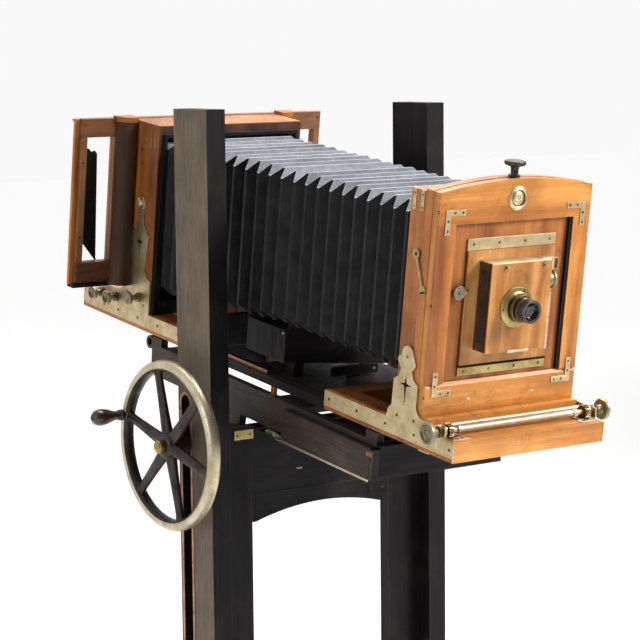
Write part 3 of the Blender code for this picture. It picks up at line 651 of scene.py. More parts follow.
def rack_outline(start, end, mesh_at, pitch, back, root, tip):
    """Outline of a rack along the first axis with a tooth centred on `mesh_at`."""
    pts = [(start, back), (start, root)]
    first = math.ceil((start + 0.4 * pitch - mesh_at) / pitch)
    last = math.floor((end - 0.4 * pitch - mesh_at) / pitch)
    for i in range(first, last + 1):
        mid = mesh_at + i * pitch
        pts += [(mid - 0.33 * pitch, root), (mid - 0.12 * pitch, tip), (mid + 0.12 * pitch, tip),
            (mid + 0.33 * pitch, root)]
    return pts + [(end, root), (end, back)]


def swap(points):
    return [(b, a) for a, b in points]


def corner_set(out, half, arm, width, heights, y0, y1):
    """Four L plates, one at each corner of a frame."""
    shape = [(0, 0), (arm, 0), (arm, -width), (width, -width), (width, -arm), (0, -arm)]
    for sx in (-1, 1):
        for sz, z0 in zip((1, -1), heights):
            out.plate("XZ", [[(sx * (half - a), z0 + sz * b) for a, b in shape]], y0, y1)


# ---- stand --------------------------------------------------------------
for side_name in ("left", "right"):
    keep("post_" + side_name, "post" if side_name == "left" else "black_Z", 0.0016, 3)
    keep("foot_" + side_name, "black_Y", 0.003, 3)
for place in ("front", "rear"):
    keep("cross_foot_" + place, "black_X", 0.003, 3)

racks = Solid()
pitch = 2 * math.pi * 0.01365 / 16
teeth = rack_outline(0.56, 1.12, 0.9, pitch, 0.0511, 0.043, 0.03965)
racks.plate("YZ", [swap(teeth)], -0.2217, -0.2057).mirrored()
racks.done("lift_racks", "copper", "stand", bed=False, stands_for=("post_rack_left", "post_rack_right"))

slot = [(0.0405, 0.5)] + arc(0.0275, 0.9727, 0.013, 0, 180, 16) + [(0.0145, 0.5)]
lip = [(0.046, 0.495)] + arc(0.0275, 0.9727, 0.0185, 0, 180, 16) + [(0.009, 0.495)]
Solid().plate("YZ", [lip, slot], -0.2614, -0.2603).done("slot_liner", "copper", "stand", bed=False,
    bevel=0.0003)
spots = [(-0.2614, y, z) for y in (0.0118, 0.0432) for z in (0.51, 0.6, 0.69, 0.78, 0.87, 0.96)]
screws("slot_liner_screws", spots, "-X", "stand", 0.0016, bed=False)
bolts = [(-0.2604, y, z) for y in (-0.028, 0.028) for z in (0.14, 0.19)]
bolts += [(-x, y, z) for x, y, z in bolts]
heads = Solid()
for x, y, z in bolts:
    heads.lathe((x, y, z), "X" if x > 0 else "-X",
        [(0.0, 0.0055), (0.005, 0.005), (0.0085, 0.0), (0.0, 0.0)], 20)
heads.done("foot_bolts", "iron", "stand", bed=False)
pads = Solid()
for x in (-0.365, 0.365):
    for y in (-0.33, 0.33):
        pads.lathe((x, y, 0.0), "Z", [(0.0, 0.0006), (0.018, 0.0), (0.02, 0.003), (0.0, 0.003)], 24)
for x in (-0.241, 0.241):
    for y in (-0.33, 0.33):
        pads.lathe((x, y, 0.112), "Z", [(0.0, 0.006), (0.006, 0.0055), (0.01, 0.0), (0.0, -0.001)], 20)
pads.done("foot_studs", "iron", "stand", bed=False)

# ---- lift carriage ------------------------------------------------------
for side_name in ("left", "right"):
    keep("runner_" + side_name, "black_Z", 0.0012)
    keep("cheek_" + side_name, "black_Y", 0.0012)
keep("apron", "black_X", 0.0012)
bead = Solid()
low_bead = [(-0.145, 0.756), (-0.145, 0.801), (0.108, 0.801)]
for run in (low_bead[:2], low_bead[1:]):
    bead.tube([(x, -0.0172, z) for x, z in run], 0.0009, 8)
bead.done("apron_bead", "black_X", "carriage", bed=False)
Solid().plate("XZ", [rounded(0.106, 0.145, 0.769, 0.804, 0.002)], -0.0183, -0.0171).done("apron_plate",
    "black_X", "carriage", bed=False, bevel=0.0003)
screws("apron_plate_screws", [(0.113, -0.0183, 0.78), (0.138, -0.0183, 0.78)], "-Y", "carriage", 0.0022,
    bed=False)
Solid().plate("XZ", [rounded(-0.19, -0.15, 0.903, 0.919, 0.0012)], -0.019, -0.0172).done("catch_plate",
    "golden", "carriage", bed=False, bevel=0.0003)
screws("catch_screws", [(-0.184, -0.019, 0.9105), (-0.157, -0.019, 0.9115)], "-Y", "carriage", 0.0022,
    bed=False)
Solid().box((-0.198, -0.146), (-0.0172, 0.009), (0.9203, 0.9236)).done("catch_ledge", "black_X",
    "carriage", bed=False, bevel=0.0006)
Solid().box((-0.056, -0.044), (-0.018, -0.0168), (0.836, 0.839)).done("apron_tab", "copper", "carriage",
    bed=False, bevel=0.0003)

# ---- crank shaft, handwheel and grip ------------------------------------
CRANK_Y, CRANK_Z = 0.0275, 0.9
SPOKE_START = 15.8
shaft = Solid()
shaft.lathe((0.0, CRANK_Y, CRANK_Z), "X", [(0.0, -0.3185), (0.0088, -0.3185), (0.009, -0.318), (0.009,
    0.22), (0.0086, 0.2205), (0.0, 0.2205)], 32)
shaft.lathe((-0.2735, CRANK_Y, CRANK_Z), "X",
    [(0.0091, 0.0), (0.0155, 0.0), (0.0165, 0.001), (0.0165, 0.0115), (0.0155, 0.0125), (0.0091, 0.0125)],
    32, closed=True)
shaft.rod((-0.2672, CRANK_Y, 0.915), (-0.2672, CRANK_Y, 0.9195), 0.0028, steps=16)
for x0, x1 in ((-0.22, -0.207), (0.207, 0.22)):
    shaft.plate("YZ", [gear_outline(CRANK_Y, CRANK_Z, 0.0118, 0.01515, 16, 0.0)], x0, x1)
shaft.done("crank_shaft_detail", "iron", "crank", bed=False, bevel=0.0003, stands_for=("crank_shaft",))

hub_at = (-0.296, CRANK_Y, CRANK_Z)
rim = Solid()
section = [(0.1355, -0.0108), (0.1405, -0.012), (0.1455, -0.0104), (0.149, -0.0064), (0.1503, 0.0)]
section += [(0.149, 0.0064), (0.1455, 0.0104), (0.1405, 0.012), (0.1355, 0.0108), (0.1345, 0.0075),
    (0.1345, -0.0075)]
rim.lathe(hub_at, "X", section, 96, closed=True)
rim.done("wheel_rim", "rim", "crank", bed=False, smooth=60.0, stands_for=("handwheel",))
web = Solid()
inner = [(0.1318, -0.0085), (0.1354, -0.0108), (0.1362, 0.0), (0.1354, 0.0108), (0.1318, 0.0085),
    (0.1306, 0.0)]
web.lathe(hub_at, "X", inner, 96, closed=True)
web.lathe(hub_at, "-X", [(0.0092, 0.014), (0.019, 0.015), (0.0225, 0.012), (0.0245, 0.004),
    (0.025, -0.01), (0.0215, -0.018), (0.0092, -0.019)], 40, closed=True)
for i in range(6):
    angle = math.radians(SPOKE_START + 60.0 * i)
    turn = Matrix.Rotation(angle - math.pi / 2, 4, "X")
    stations = [(0.016, 0.0135, 0.0095), (0.03, 0.0122, 0.0085), (0.06, 0.0108, 0.0072),
        (0.1, 0.0092, 0.0063), (0.122, 0.0088, 0.0062), (0.13, 0.0102, 0.0072), (0.135, 0.0125, 0.0085)]
    rings = []
    for r, wide, deep in stations:
        ring = []
        for k in range(20):
            a = 2 * math.pi * k / 20
            point = turn @ Vector((deep * math.sin(a), wide * math.cos(a), r))
            ring.append(Vector(hub_at) + point)
        rings.append(ring)
    web.loft(rings)
web.done("wheel_spokes", "iron", "crank", bed=False, smooth=50.0)
nut = Solid()
hexagon = circle(CRANK_Y, CRANK_Z, 0.0128, 6)
nut.plate("YZ", [hexagon], -0.32, -0.311)
nut.lathe((-0.32, CRANK_Y, CRANK_Z), "-X", [(0.0, 0.0055), (0.005, 0.005), (0.0088, 0.003), (0.0105, 0.0),
    (0.0, 0.0)], 28)
nut.done("wheel_nut", "golden", "crank", bed=False, bevel=0.0005)
spoke = math.radians(SPOKE_START)
grip_at = (-0.296, CRANK_Y + 0.141 * math.cos(spoke), CRANK_Z + 0.141 * math.sin(spoke))
handle = [(0.0, 0.0745), (0.0042, 0.0745), (0.0085, 0.0728), (0.0122, 0.069), (0.0143, 0.0635),
    (0.015, 0.0575), (0.0147, 0.052)]
handle += [(0.0136, 0.0455), (0.0118, 0.0395), (0.0098, 0.034), (0.0084, 0.029), (0.0078, 0.024),
    (0.008, 0.02), (0.0, 0.02)]
Solid().lathe(grip_at, "-X", handle, 40).done("grip_handle", "handle", "grip", bed=False, smooth=60.0,
    stands_for=("grip",))
ferrule = Solid()
ferrule.lathe(grip_at, "-X", [(0.0, 0.0205), (0.009, 0.0205), (0.0098, 0.019), (0.0086, 0.0176),
    (0.01, 0.016), (0.0098, 0.0122), (0.0, 0.012)], 32)
ferrule.lathe(grip_at, "-X", [(0.0, 0.0762), (0.003, 0.076), (0.0046, 0.0746), (0.0, 0.074)], 24)
ferrule.done("grip_ferrule", "iron", "grip", bed=False)

# ---- tilting platform ---------------------------------------------------
for side_name in ("left", "right"):
    keep("side_board_" + side_name, "worn_painted_light_cad_Y", 0.0012)
    keep("bed_rail_" + side_name, "black_cad_Y", 0.001)
keep("platform_front_plate", "black_cad_X", 0.002, 3)
keep("platform_rear_rail", "black_cad_X", 0.0012)
keep("tilt_shaft", "iron", 0.0008)
keep("bellows_support", "black_cad_Z", 0.0008)
nuts = Solid()
for sign in (-1, 1):
    axis = "X" if sign > 0 else "-X"
    nuts.lathe((sign * 0.1765, 0.07, 0.905), axis,
        [(0.0074, 0.0), (0.0125, 0.0), (0.0125, 0.0012), (0.0074, 0.0012)], 24, closed=True)
    nuts.plate("YZ", [circle(0.07, 0.905, 0.011, 6)], *sorted((sign * 0.1778, sign * 0.1835)))
nuts.done("tilt_nuts", "iron", "platform", bed=False, bevel=0.0004)

cover = Solid()
profile = [(-0.1335, -0.093), (-0.1487, -0.093), (-0.1495, -0.092), (-0.1495, -0.045)] + arc(-0.144,
    -0.043, 0.0055, 180, 95, 6) + [(-0.1335, -0.038)]
cover.loft([[(x, y, z) for x, z in profile] for y in (-0.364, -0.115)])
cover.box((-0.1488, -0.1335), (-0.3722, -0.3643), (-0.0915, -0.04))
cover.done("side_box_body", "worn_painted_light_Y", "platform", bevel=0.0008, stands_for=("side_box",))
boss = Solid().rod((-0.1465, -0.3715, -0.048), (-0.1465, -0.356, -0.048), 0.0052, steps=20)
boss.done("side_box_boss", "brown_Z", "platform", bevel=0.0006)
screws("side_box_screws", [(-0.1495, -0.235, -0.0655), (-0.1488, -0.3683, -0.076)], "-X", "platform",
    0.0024)
edge = Solid()
edge.box((-0.151, -0.1485), (-0.364, -0.115), (-0.0945, -0.0915))
edge.rod((-0.15, -0.364, -0.0945), (-0.15, -0.1, -0.0945), 0.0012, steps=12)
edge.done("side_box_strip", "rim", "platform", bevel=0.0003)
spring = Solid()
spring.lathe((-0.145, -0.115, -0.09), "Y",
    [(0.0, 0.0), (0.003, 0.0), (0.003, 0.02), (0.005, 0.022), (0.0054, 0.03), (0.0054, 0.042),
    (0.0046, 0.047), (0.0024, 0.0495), (0.0, 0.05)], 24)
spring.done("side_box_barrel", "aged", "platform", smooth=50.0)

posts = Solid()
for x in (-0.1235, 0.1235):
    posts.lathe((x, -0.05, -0.03), "Z", [(0.0, 0.0), (0.0062, 0.0), (0.0056, 0.004), (0.006, 0.008),
        (0.0056, 0.012), (0.006, 0.0152), (0.0, 0.0152)], 24)
posts.done("rail_spacers", "russet_Z", "platform")
strip = Solid()
strip.box((-0.1195, -0.119), (-0.02, 0.15), (0.0, 0.0058))
pitch = 0.0031
teeth = rack_outline(-0.005, 0.15, 0.07, pitch, 0.0001, 0.0038, 0.005)
strip.plate("YZ", [teeth], -0.118, -0.104)
strip.done("bed_rack_teeth", "copper", "platform", stands_for=("bed_rack",))
keep("cross_board_front", "black_cad_X", 0.001)
keep("cross_board_middle", "black_cad_X", 0.001)
Solid().rod((-0.1195, -0.06, 0.083), (-0.1178, -0.06, 0.083), 0.0022, steps=16).done("support_pin",
    "steel", "platform")
arm = Solid()
arm.box((-0.035, 0.065), (-0.101, -0.093), (0.006, 0.022))
arm.box((0.0, 0.03), (-0.096, -0.093), (-0.0002, 0.006))
arm.done("cross_bar", "black_X", "platform", bevel=0.0006)
screws("cross_bar_screw", [(0.056, -0.101, 0.014)], "-Y", "platform", 0.0032, material="aged")
skirt = [(-0.1178, 0.031), (0.1178, 0.008), (0.1178, 0.086), (-0.1178, 0.086)]
Solid().plate("XZ", [skirt], -0.0656, -0.0643).done("support_skirt", "black_X", "platform", bevel=0.0003)
Solid().box((-0.15, 0.15), (0.17, 0.1836), (0.0002, 0.06)).done("rear_nose_board", "black_X", "platform",
    bevel=0.0012, segments=3)
Solid().box((-0.0915, 0.0915), (-0.44, -0.2455), (-0.0145, -0.0045)).done("front_base_board", "black_Y",
    "platform", bevel=0.0008)

keep("front_bed", "bed_top", 0.0012, 3)
keep("rear_bed", "russet_cad_Y", 0.0012, 3)

front_racks = Solid()
pitch = 2 * math.pi * 0.0115 / 16
teeth = rack_outline(-0.575, -0.37, -0.551, pitch, 0.02995, 0.0303, 0.033)
front_racks.plate("YZ", [teeth], -0.1496, -0.1404).mirrored()
front_racks.done("front_racks", "copper", "platform")
rear_racks = Solid()
pitch = 2 * math.pi * 0.01 / 14
teeth = rack_outline(0.33, 0.535, 0.479, pitch, 0.02995, 0.0306, 0.0331)
rear_racks.plate("YZ", [teeth], -0.1496, -0.1404).mirrored()
rear_racks.done("rear_racks", "copper", "platform")

trim = Solid()
trim.plate("YZ", [rect(-0.5845, -0.245, 0.007, 0.033)], -0.1606, -0.1594)
outline = [(0.1845, 0.007), (0.542, 0.007)] + arc(0.536, 0.02, 0.0128, -60, 90, 8) + [(0.1845, 0.033)]
trim.plate("YZ", [outline], -0.1606, -0.1594)
trim.mirrored()
trim.done("bed_trim", "brass", "platform", bevel=0.0003)
spots = [(-0.1606, y, 0.02) for y in (-0.2585, -0.335, -0.412, -0.4865, -0.576)]
spots += [(-0.1606, y, 0.02) for y in (0.21, 0.28, 0.35, 0.42, 0.47, 0.52)]
screws("bed_trim_screws_left", spots, "-X", "platform", 0.0027)
screws("bed_trim_screws_right", [(-x, y, z) for x, y, z in spots], "X", "platform", 0.0027)
shoes = Solid()
for sign in (-1, 1):
    x = sorted((sign * 0.1596, sign * 0.134))
    shoes.box(x, (-0.524, -0.499), (-0.0016, -0.0003))
    x = sorted((sign * 0.1594, sign * 0.1602))
    shoes.box(x, (-0.586, -0.5845), (0.0005, 0.0335))
shoes.done("bed_shoes", "polished", "platform", bevel=0.0003)

# ---- front carriage -----------------------------------------------------
LOW, HIGH, APEX, HALF = 0.0542, 0.4164, 0.4322, 0.1593
FRONT_FACE = -0.5044


def crest(inset, bottom, steps=40):
    pts = [(-HALF + inset, bottom), (HALF - inset, bottom)]
    for i in range(steps + 1):
        t = 1 - 2 * i / steps
        z = APEX - (APEX - HIGH) * abs(t) ** 1.8
        pts.append(((HALF - inset) * t, z - inset))
    return pts


Solid().plate("XZ", [crest(0.0, 0.364)], -0.5045, -0.4998).done("front_top_rail", "honey_X",
    "front_carriage", bevel=0.0009, segments=3, stands_for=("front_frame",))
chamfer = [(-0.5045, LOW), (-0.4998, LOW), (-0.4998, 0.1072), (-0.5045, 0.101)]
sill = Solid().loft([[(x, y, z) for y, z in chamfer] for x in (-HALF, HALF)])
sill.done("front_bottom_rail", "honey_X", "front_carriage", bevel=0.0007, segments=3)
for side_name, sign in (("left", -1), ("right", 1)):
    x = sorted((sign * 0.124, sign * HALF))
    stile = Solid().plate("XZ", [rect(x[0], x[1], 0.1061, 0.3638)], -0.5045, -0.4998)
    stile.done("front_stile_" + side_name, "amber_Z" if sign < 0 else "honey_Z", "front_carriage",
        bevel=0.0007, segments=3)
hole = rect(-0.14, 0.14, 0.07, 0.3975)
Solid().plate("XZ", [crest(0.001, LOW + 0.001), hole], -0.4994, -0.4859).done("front_frame_bead",
    "russet_Z", "front_carriage", bevel=0.0014, segments=3)
Solid().plate("XZ", [crest(0.0, LOW), hole], -0.4855, -0.4685).done("front_frame_back", "amber_Z",
    "front_carriage", bevel=0.001, segments=3)
# painted shadow: dark strips on the recess jambs, wider on the right, stand for the jambs in shade and
# the shadow they cast
jamb_shadow = Solid()
jamb_shadow.box((-0.124, -0.1228), (-0.503, -0.4975), (0.108, 0.3635))
jamb_shadow.box((0.1175, 0.124), (-0.503, -0.4975), (0.108, 0.3635))
jamb_shadow.done("jamb_painted_shadow", "dark", "front_carriage")
keep("front_box", "russet_cad_Z", 0.0014, 3)
keep("front_riser", "honey_cad_X", 0.0012, 3)
for side_name in ("left", "right"):
    keep("front_bracket_" + side_name, "brass", 0.0004)
keep("front_tie_rod", "cream", 0.0006)

corners = Solid()
corner_set(corners, 0.147, 0.04, 0.01, (0.388, 0.085), -0.506, FRONT_FACE)
corners.done("corner_plates", "brass", "front_carriage", bevel=0.0003)
spots = []
for sx in (-1, 1):
    for sz, z0 in ((1, 0.388), (-1, 0.085)):
        for a, b in ((0.005, 0.018), (0.005, 0.034), (0.018, 0.005), (0.034, 0.005)):
            spots.append((sx * (0.147 - a), -0.506, z0 - sz * b))
screws("corner_plate_screws", spots, "-Y", "front_carriage", 0.0022)
for side_name, sign, axis in (("left", -1, "-X"), ("right", 1, "X")):
    spots = [(sign * HALF, -0.5015, z) for z in (0.085, 0.235, 0.385)]
    spots += [(sign * 0.162, y, z) for y, z in ((-0.442, 0.042), (-0.485, 0.043), (-0.51, 0.042))]
    spots += [(sign * 0.162, -0.457, 0.142)]
    screws("front_side_screws_" + side_name, spots, axis, "front_carriage", 0.0026)
    strips = Solid()
    for y in (-0.439, -0.459):
        strips.box(sorted((sign * 0.1574, sign * 0.1588)), (y - 0.0038, y + 0.0038), (0.379, 0.4128))
    strips.done("side_strips_" + side_name, "brass", "front_carriage", bevel=0.0004)
    for label, cy, cz, body in (("front", -0.4575, 0.09, "front_carriage"),
        ("rear", 0.3557, 0.17, "rear_carriage")):
        # painted shadow: a dark patch behind each star-cross hole stands for the shade inside it
        patch = Solid().plate("YZ", [rect(cy - 0.015, cy + 0.015, cz - 0.045, cz + 0.03)],
            *sorted((sign * 0.15935, sign * 0.15955)))
        patch.done("star_hole_shadow_" + label + "_" + side_name, "dark", body)
    spots = [(sign * 0.1588, y, z) for y in (-0.439, -0.459) for z in (0.384, 0.405)]
    screws("side_strip_screws_" + side_name, spots, axis, "front_carriage", 0.0019)
lugs = [(0.068, -0.5045, 0.076), (-0.068, -0.5045, 0.076)]
screws("front_rail_screws", lugs, "-Y", "front_carriage", 0.0026, material="steel")

badge = Solid()
badge.lathe((0.0, FRONT_FACE, 0.4), "-Y",
    [(0.0138, 0.0), (0.0138, 0.0022), (0.015, 0.003), (0.0162, 0.0022), (0.018, 0.0018), (0.0195, 0.001),
    (0.0195, 0.0)], 48, closed=True)
badge.lathe((0.0, FRONT_FACE, 0.4), "-Y", [(0.0, 0.0016), (0.0108, 0.0016), (0.0116, 0.0008), (0.0116,
    0.0), (0.0, 0.0)], 40)
for i in range(8):
    a = 2 * math.pi * i / 8
    badge.ball((0.0058 * math.cos(a), -0.5058, 0.4 + 0.0058 * math.sin(a)), 0.0027, (1.0, 0.45, 1.0), 12)
badge.ball((0.0, -0.506, 0.4), 0.0024, (1.0, 0.6, 1.0), 12)
badge.done("medallion", "brass", "front_carriage", smooth=50.0)
Solid().lathe((0.0, FRONT_FACE, 0.4), "-Y", [(0.0, 0.0006), (0.0138, 0.0006), (0.0138, 0.0), (0.0, 0.0)],
    40).done("medallion_ground", "bronze", "front_carriage")
spots = [(0.0178 * math.cos(math.radians(a)), -0.5062,
    0.4 + 0.0178 * math.sin(math.radians(a))) for a in (60, 120, 240, 300)]
screws("medallion_screws", spots, "-Y", "front_carriage", 0.0012)

keep("side_hook", "golden", 0.0005)
screws("hook_screw", [(-0.1618, -0.457, 0.31)], "-X", "side_hook", 0.003)
Solid().rod((-0.159, -0.48, 0.252), (-0.165, -0.48, 0.252), 0.0018, steps=14).done("hook_pin", "iron",
    "front_carriage")

bearing = Solid()
for sign in (-1, 1):
    x = sorted((sign * (0.1535 - 0.0008), sign * (0.1535 + 0.0008)))
    shape = [(-0.559, 0.0337), (-0.559, 0.044)] + arc(-0.551, 0.0455, 0.008, 180, 0, 12)
    shape += [(-0.543, 0.0337)]
    bearing.plate("YZ", [shape, circle(-0.551, 0.0435, 0.005, 20)], *x)
    x = sorted((sign * 0.1527, sign * 0.118))
    bearing.box(x, (-0.576, -0.564), (0.0337, 0.035))
    x = sorted((sign * 0.1543, sign * 0.15))
    bearing.box(x, (-0.576, -0.556), (0.0337, 0.035))
    x = sorted((sign * 0.124, sign * 0.136))
    bearing.plate("YZ", [rect(-0.564, -0.52, 0.0337, 0.035)], *x)
bearing.done("front_bearings", "polished", "front_carriage", bevel=0.0003)
screws("bearing_screws", [(sx * 0.13, -0.57, 0.035) for sx in (-1, 1)], "Z", "front_carriage", 0.0024)


def pinion_shaft(name, y, z, root, tip, teeth, knob_r, outer, rod_r, body, node, dish=True):
    """Cross shaft with a knob at each end and a pinion over each rack."""
    core = Solid()
    core.rod((-outer + 0.006, y, z), (outer - 0.006, y, z), 0.0043, steps=28)
    if rod_r > 0.0043:
        core.lathe((0.0, y, z), "X", [(0.0, -0.127), (rod_r + 0.0012, -0.127), (rod_r + 0.0012, -0.119),
            (rod_r, -0.1185), (rod_r, 0.1185), (rod_r + 0.0012, 0.119), (rod_r + 0.0012, 0.127),
            (0.0, 0.127)], 32)
    core.done(name + "_rod", "cream", body, smooth=40.0, stands_for=(node,))
    gears = Solid()
    knobs = Solid()
    for sign in (-1, 1):
        if teeth:
            x = sorted((sign * 0.1405, sign * 0.1495))
            gears.plate("YZ", [gear_outline(y, z, root, tip, teeth, -math.pi / 2)], *x)
        else:
            gears.lathe((sign * 0.145, y, z), "X",
                [(0.0044, -0.005), (root, -0.005), (root, 0.005), (0.0044, 0.005)], 24, closed=True)
        gears.lathe((sign * 0.165, y, z), "X",
            [(0.0044, -0.002), (0.0088, -0.002), (0.0095, 0.0), (0.0088, 0.002), (0.0044, 0.002)], 28,
            closed=True)
        axis = "X" if sign > 0 else "-X"
        k = knob_r
        face = [(0.0, outer - 0.0048), (k * 0.16, outer - 0.0046), (k * 0.22, outer - 0.0032),
            (k * 0.3, outer - 0.005), (k * 0.62, outer - 0.0056), (k * 0.74, outer - 0.004),
            (k * 0.8, outer - 0.0006), (k * 0.92, outer)]
        face += [(k, outer - 0.0012), (k, outer - 0.006), (k * 0.93, outer - 0.0078),
            (k * 0.48, outer - 0.0092), (k * 0.4, outer - 0.0125), (k * 0.38, outer - 0.0165),
            (k * 0.44, outer - 0.0195), (0.0, outer - 0.0195)]
        knobs.lathe((0.0, y, z), axis, face, 48)
        grooves = 40
        for i in range(grooves):
            a = 2 * math.pi * i / grooves
            cy, cz = y + (k - 0.0001) * math.cos(a), z + (k - 0.0001) * math.sin(a)
            knobs.box(sorted((sign * (outer - 0.0016), sign * (outer - 0.0056))),
                (cy - 0.0004, cy + 0.0004), (cz - 0.0003, cz + 0.0003))
    gears.done(name + "_gears", "bronze", body, bevel=0.0002)
    knobs.done(name + "_knobs", "aged", body, smooth=40.0)


pinion_shaft("front_pinion", -0.551, 0.0435, 0.0102, 0.0126, 16, 0.018, 0.19, 0.0056, "front_pinion",
    "front_pinion_shaft")
pinion_shaft("rear_pinion", 0.479, 0.042, 0.0088, 0.0111, 14, 0.013, 0.186, 0.0, "rear_pinion",
    "rear_pinion_shaft")
pinion_shaft("clamp_rod", 0.428, 0.044, 0.007, 0.0, 0, 0.013, 0.186, 0.0, "clamp_rod", "rear_clamp_rod")

# ---- rising front, shutter and lens -------------------------------------
keep("rising_panel", "russet_cad_Z", 0.0008)
keep("lens_board", "gold_cad_Z", 0.0007)
bars = Solid()
bars.box((-0.0925, 0.0925), (-0.5002, -0.4969), (0.319, 0.338))
bars.done("panel_top_bar", "brass", "rising_front", bevel=0.0004)
low_bar = Solid().box((-0.0925, 0.0925), (-0.5002, -0.4969), (0.114, 0.1279))
low_bar.done("panel_low_bar", "golden", "rising_front", bevel=0.0004)
# painted shadow: a dark ring round the lens board and a strip above the low bar stand for the shadow in
# the gaps
board_shadow = Solid().plate("XZ", [rect(-0.0922, 0.0922, 0.1279, 0.319), rect(-0.0913, 0.0913, 0.1292,
    0.3178)], -0.499, -0.4966)
board_shadow.box((-0.0915, 0.0915), (-0.5032, -0.4985), (0.128, 0.1318))
board_shadow.done("board_painted_shadow", "dark", "rising_front")
spots = [(x, -0.5002, z) for z in (0.329, 0.1208) for x in (-0.08, -0.027, 0.027, 0.08)]
screws("panel_bar_screws", spots, "-Y", "rising_front", 0.0023)

case = Solid()
flutes = []
for i in range(5):
    y = -0.5285 + i * 0.0046
    flutes += [(-0.067, y), (-0.0644, y + 0.0006), (-0.0636, y + 0.0015), (-0.0644, y + 0.0024),
        (-0.067, y + 0.003)]
side_line = [(-0.067, -0.5328)] + flutes + [(-0.067, -0.5028), (0.0585, -0.5028), (0.0585, -0.5328)]
case.plate("XY", [side_line], 0.17, 0.29)
for z0, z1 in ((0.157, 0.17), (0.29, 0.302)):
    case.box((-0.067, 0.0585), (-0.5328, -0.5028), (z0, z1))
case.done("shutter_case", "umber", "rising_front", bevel=0.0003, stands_for=("shutter_box",))
face = Solid().plate("XZ", [rect(-0.0672, 0.0587, 0.1568, 0.3022), circle(-0.0115, 0.23, 0.0215, 40)],
    -0.535, -0.5326)
face.done("shutter_face", "gold_Z", "rising_front", bevel=0.0005, segments=3)
lid = Solid().box((-0.0668, 0.0583), (-0.5345, -0.503), (0.3019, 0.3032))
lid.done("shutter_lid", "polished", "rising_front", bevel=0.0004)
fittings = Solid()
fittings.box((0.0586, 0.0598), (-0.5325, -0.505), (0.25, 0.302))
fittings.box((0.044, 0.06), (-0.529, -0.51), (0.3031, 0.3042))
for z0, z1 in ((0.154, 0.205), (0.208, 0.248), (0.286, 0.302)):
    fittings.box((0.0586, 0.0638), (-0.5332, -0.5318), (z0, z1))
fittings.box((-0.022, 0.023), (-0.5366, -0.5349), (0.1546, 0.159))
fittings.plate("YZ", [rect(-0.529, -0.51, 0.286, 0.304), rect(-0.5225, -0.5165, 0.289, 0.301)], 0.076,
    0.077)
fittings.box((0.0598, 0.077), (-0.529, -0.51), (0.3031, 0.3041))
fittings.done("shutter_fittings", "polished", "rising_front", bevel=0.0002)
eyes = Solid()
for x in (-0.039, 0.041):
    eyes.rod((x, -0.535, 0.296), (x, -0.5375, 0.296), 0.0026, steps=20)
    eyes.ball((x, -0.5385, 0.296), 0.0024, steps=16)
    eyes.rod((x, -0.539, 0.296), (x + 0.0045, -0.54, 0.2945), 0.0009, steps=10)
eyes.done("shutter_eyes", "aged", "rising_front", smooth=50.0)

lens_at = (-0.0115, -0.5353, 0.23)
flange = [(0.021, 0.0062), (0.024, 0.0064), (0.025, 0.0058), (0.0254, 0.0036), (0.027, 0.0028),
    (0.0318, 0.0026), (0.0332, 0.002), (0.0335, 0.001), (0.0335, 0.0), (0.021, 0.0)]
Solid().lathe(lens_at, "-Y", flange, 64, closed=True).done("flange_ring", "golden", "rising_front",
    stands_for=("lens_flange",))
spots = [(-0.0115 + 0.029 * math.cos(math.radians(a)), -0.5381,
    0.23 + 0.029 * math.sin(math.radians(a))) for a in (65, 185, 305)]
screws("flange_screws", spots, "-Y", "rising_front", 0.002)
barrel = [(0.0203, -0.03), (0.0203, 0.0105), (0.0198, 0.0112), (0.0184, 0.0118), (0.0182, 0.0182),
    (0.019, 0.0188), (0.0195, 0.02)]
barrel += [(0.0195, 0.0225), (0.0191, 0.0228), (0.0191, 0.0238), (0.0195, 0.0241), (0.0195, 0.0385),
    (0.019, 0.0395), (0.0168, 0.0395), (0.0162, 0.0388)]
barrel += [(0.0152, 0.035), (0.015, 0.0318), (0.0144, 0.0312), (0.0138, 0.03), (0.011, 0.018),
    (0.01, 0.006), (0.01, -0.02), (0.0, -0.02), (0.0, -0.03)]
Solid().lathe(lens_at, "-Y", barrel, 72).done("barrel_tube", "lacquer", "rising_front",
    stands_for=("lens_barrel",))
front_glass = [(0.0, 0.0352), (0.004, 0.035), (0.008, 0.0344), (0.0115, 0.0335), (0.0142, 0.0324),
    (0.0146, 0.0316), (0.011, 0.0306), (0.006, 0.0301), (0.0, 0.03)]
rear_glass = [(0.0, 0.015), (0.006, 0.0146), (0.0098, 0.0136), (0.0098, 0.012), (0.0, 0.0118)]
Solid().lathe(lens_at, "-Y", front_glass, 48).lathe(lens_at, "-Y", rear_glass, 40).done("lens_elements",
    "lens", "rising_front", smooth=60.0, stands_for=("lens_glass",))
retainer = Solid().lathe(lens_at, "-Y", [(0.014, 0.0328), (0.0152, 0.033), (0.016, 0.0388), (0.0152,
    0.0386)], 64, closed=True)
retainer.done("lens_retainer", "lacquer", "rising_front")
iris = Solid()
iris.lathe(lens_at, "-Y", [(0.0186, 0.0176), (0.0222, 0.0176), (0.0228, 0.017), (0.0228, 0.0128),
    (0.0222, 0.0122), (0.0186, 0.0122)], 64, closed=True)
for i in range(60):
    a = 2 * math.pi * i / 60
    cx, cz = lens_at[0] + 0.0229 * math.cos(a), lens_at[2] + 0.0229 * math.sin(a)
    iris.box((cx - 0.0004, cx + 0.0004), (-0.5518, -0.5484), (cz - 0.0004, cz + 0.0004))
iris.done("iris_ring_detail", "bronze", "iris", stands_for=("iris_ring",))
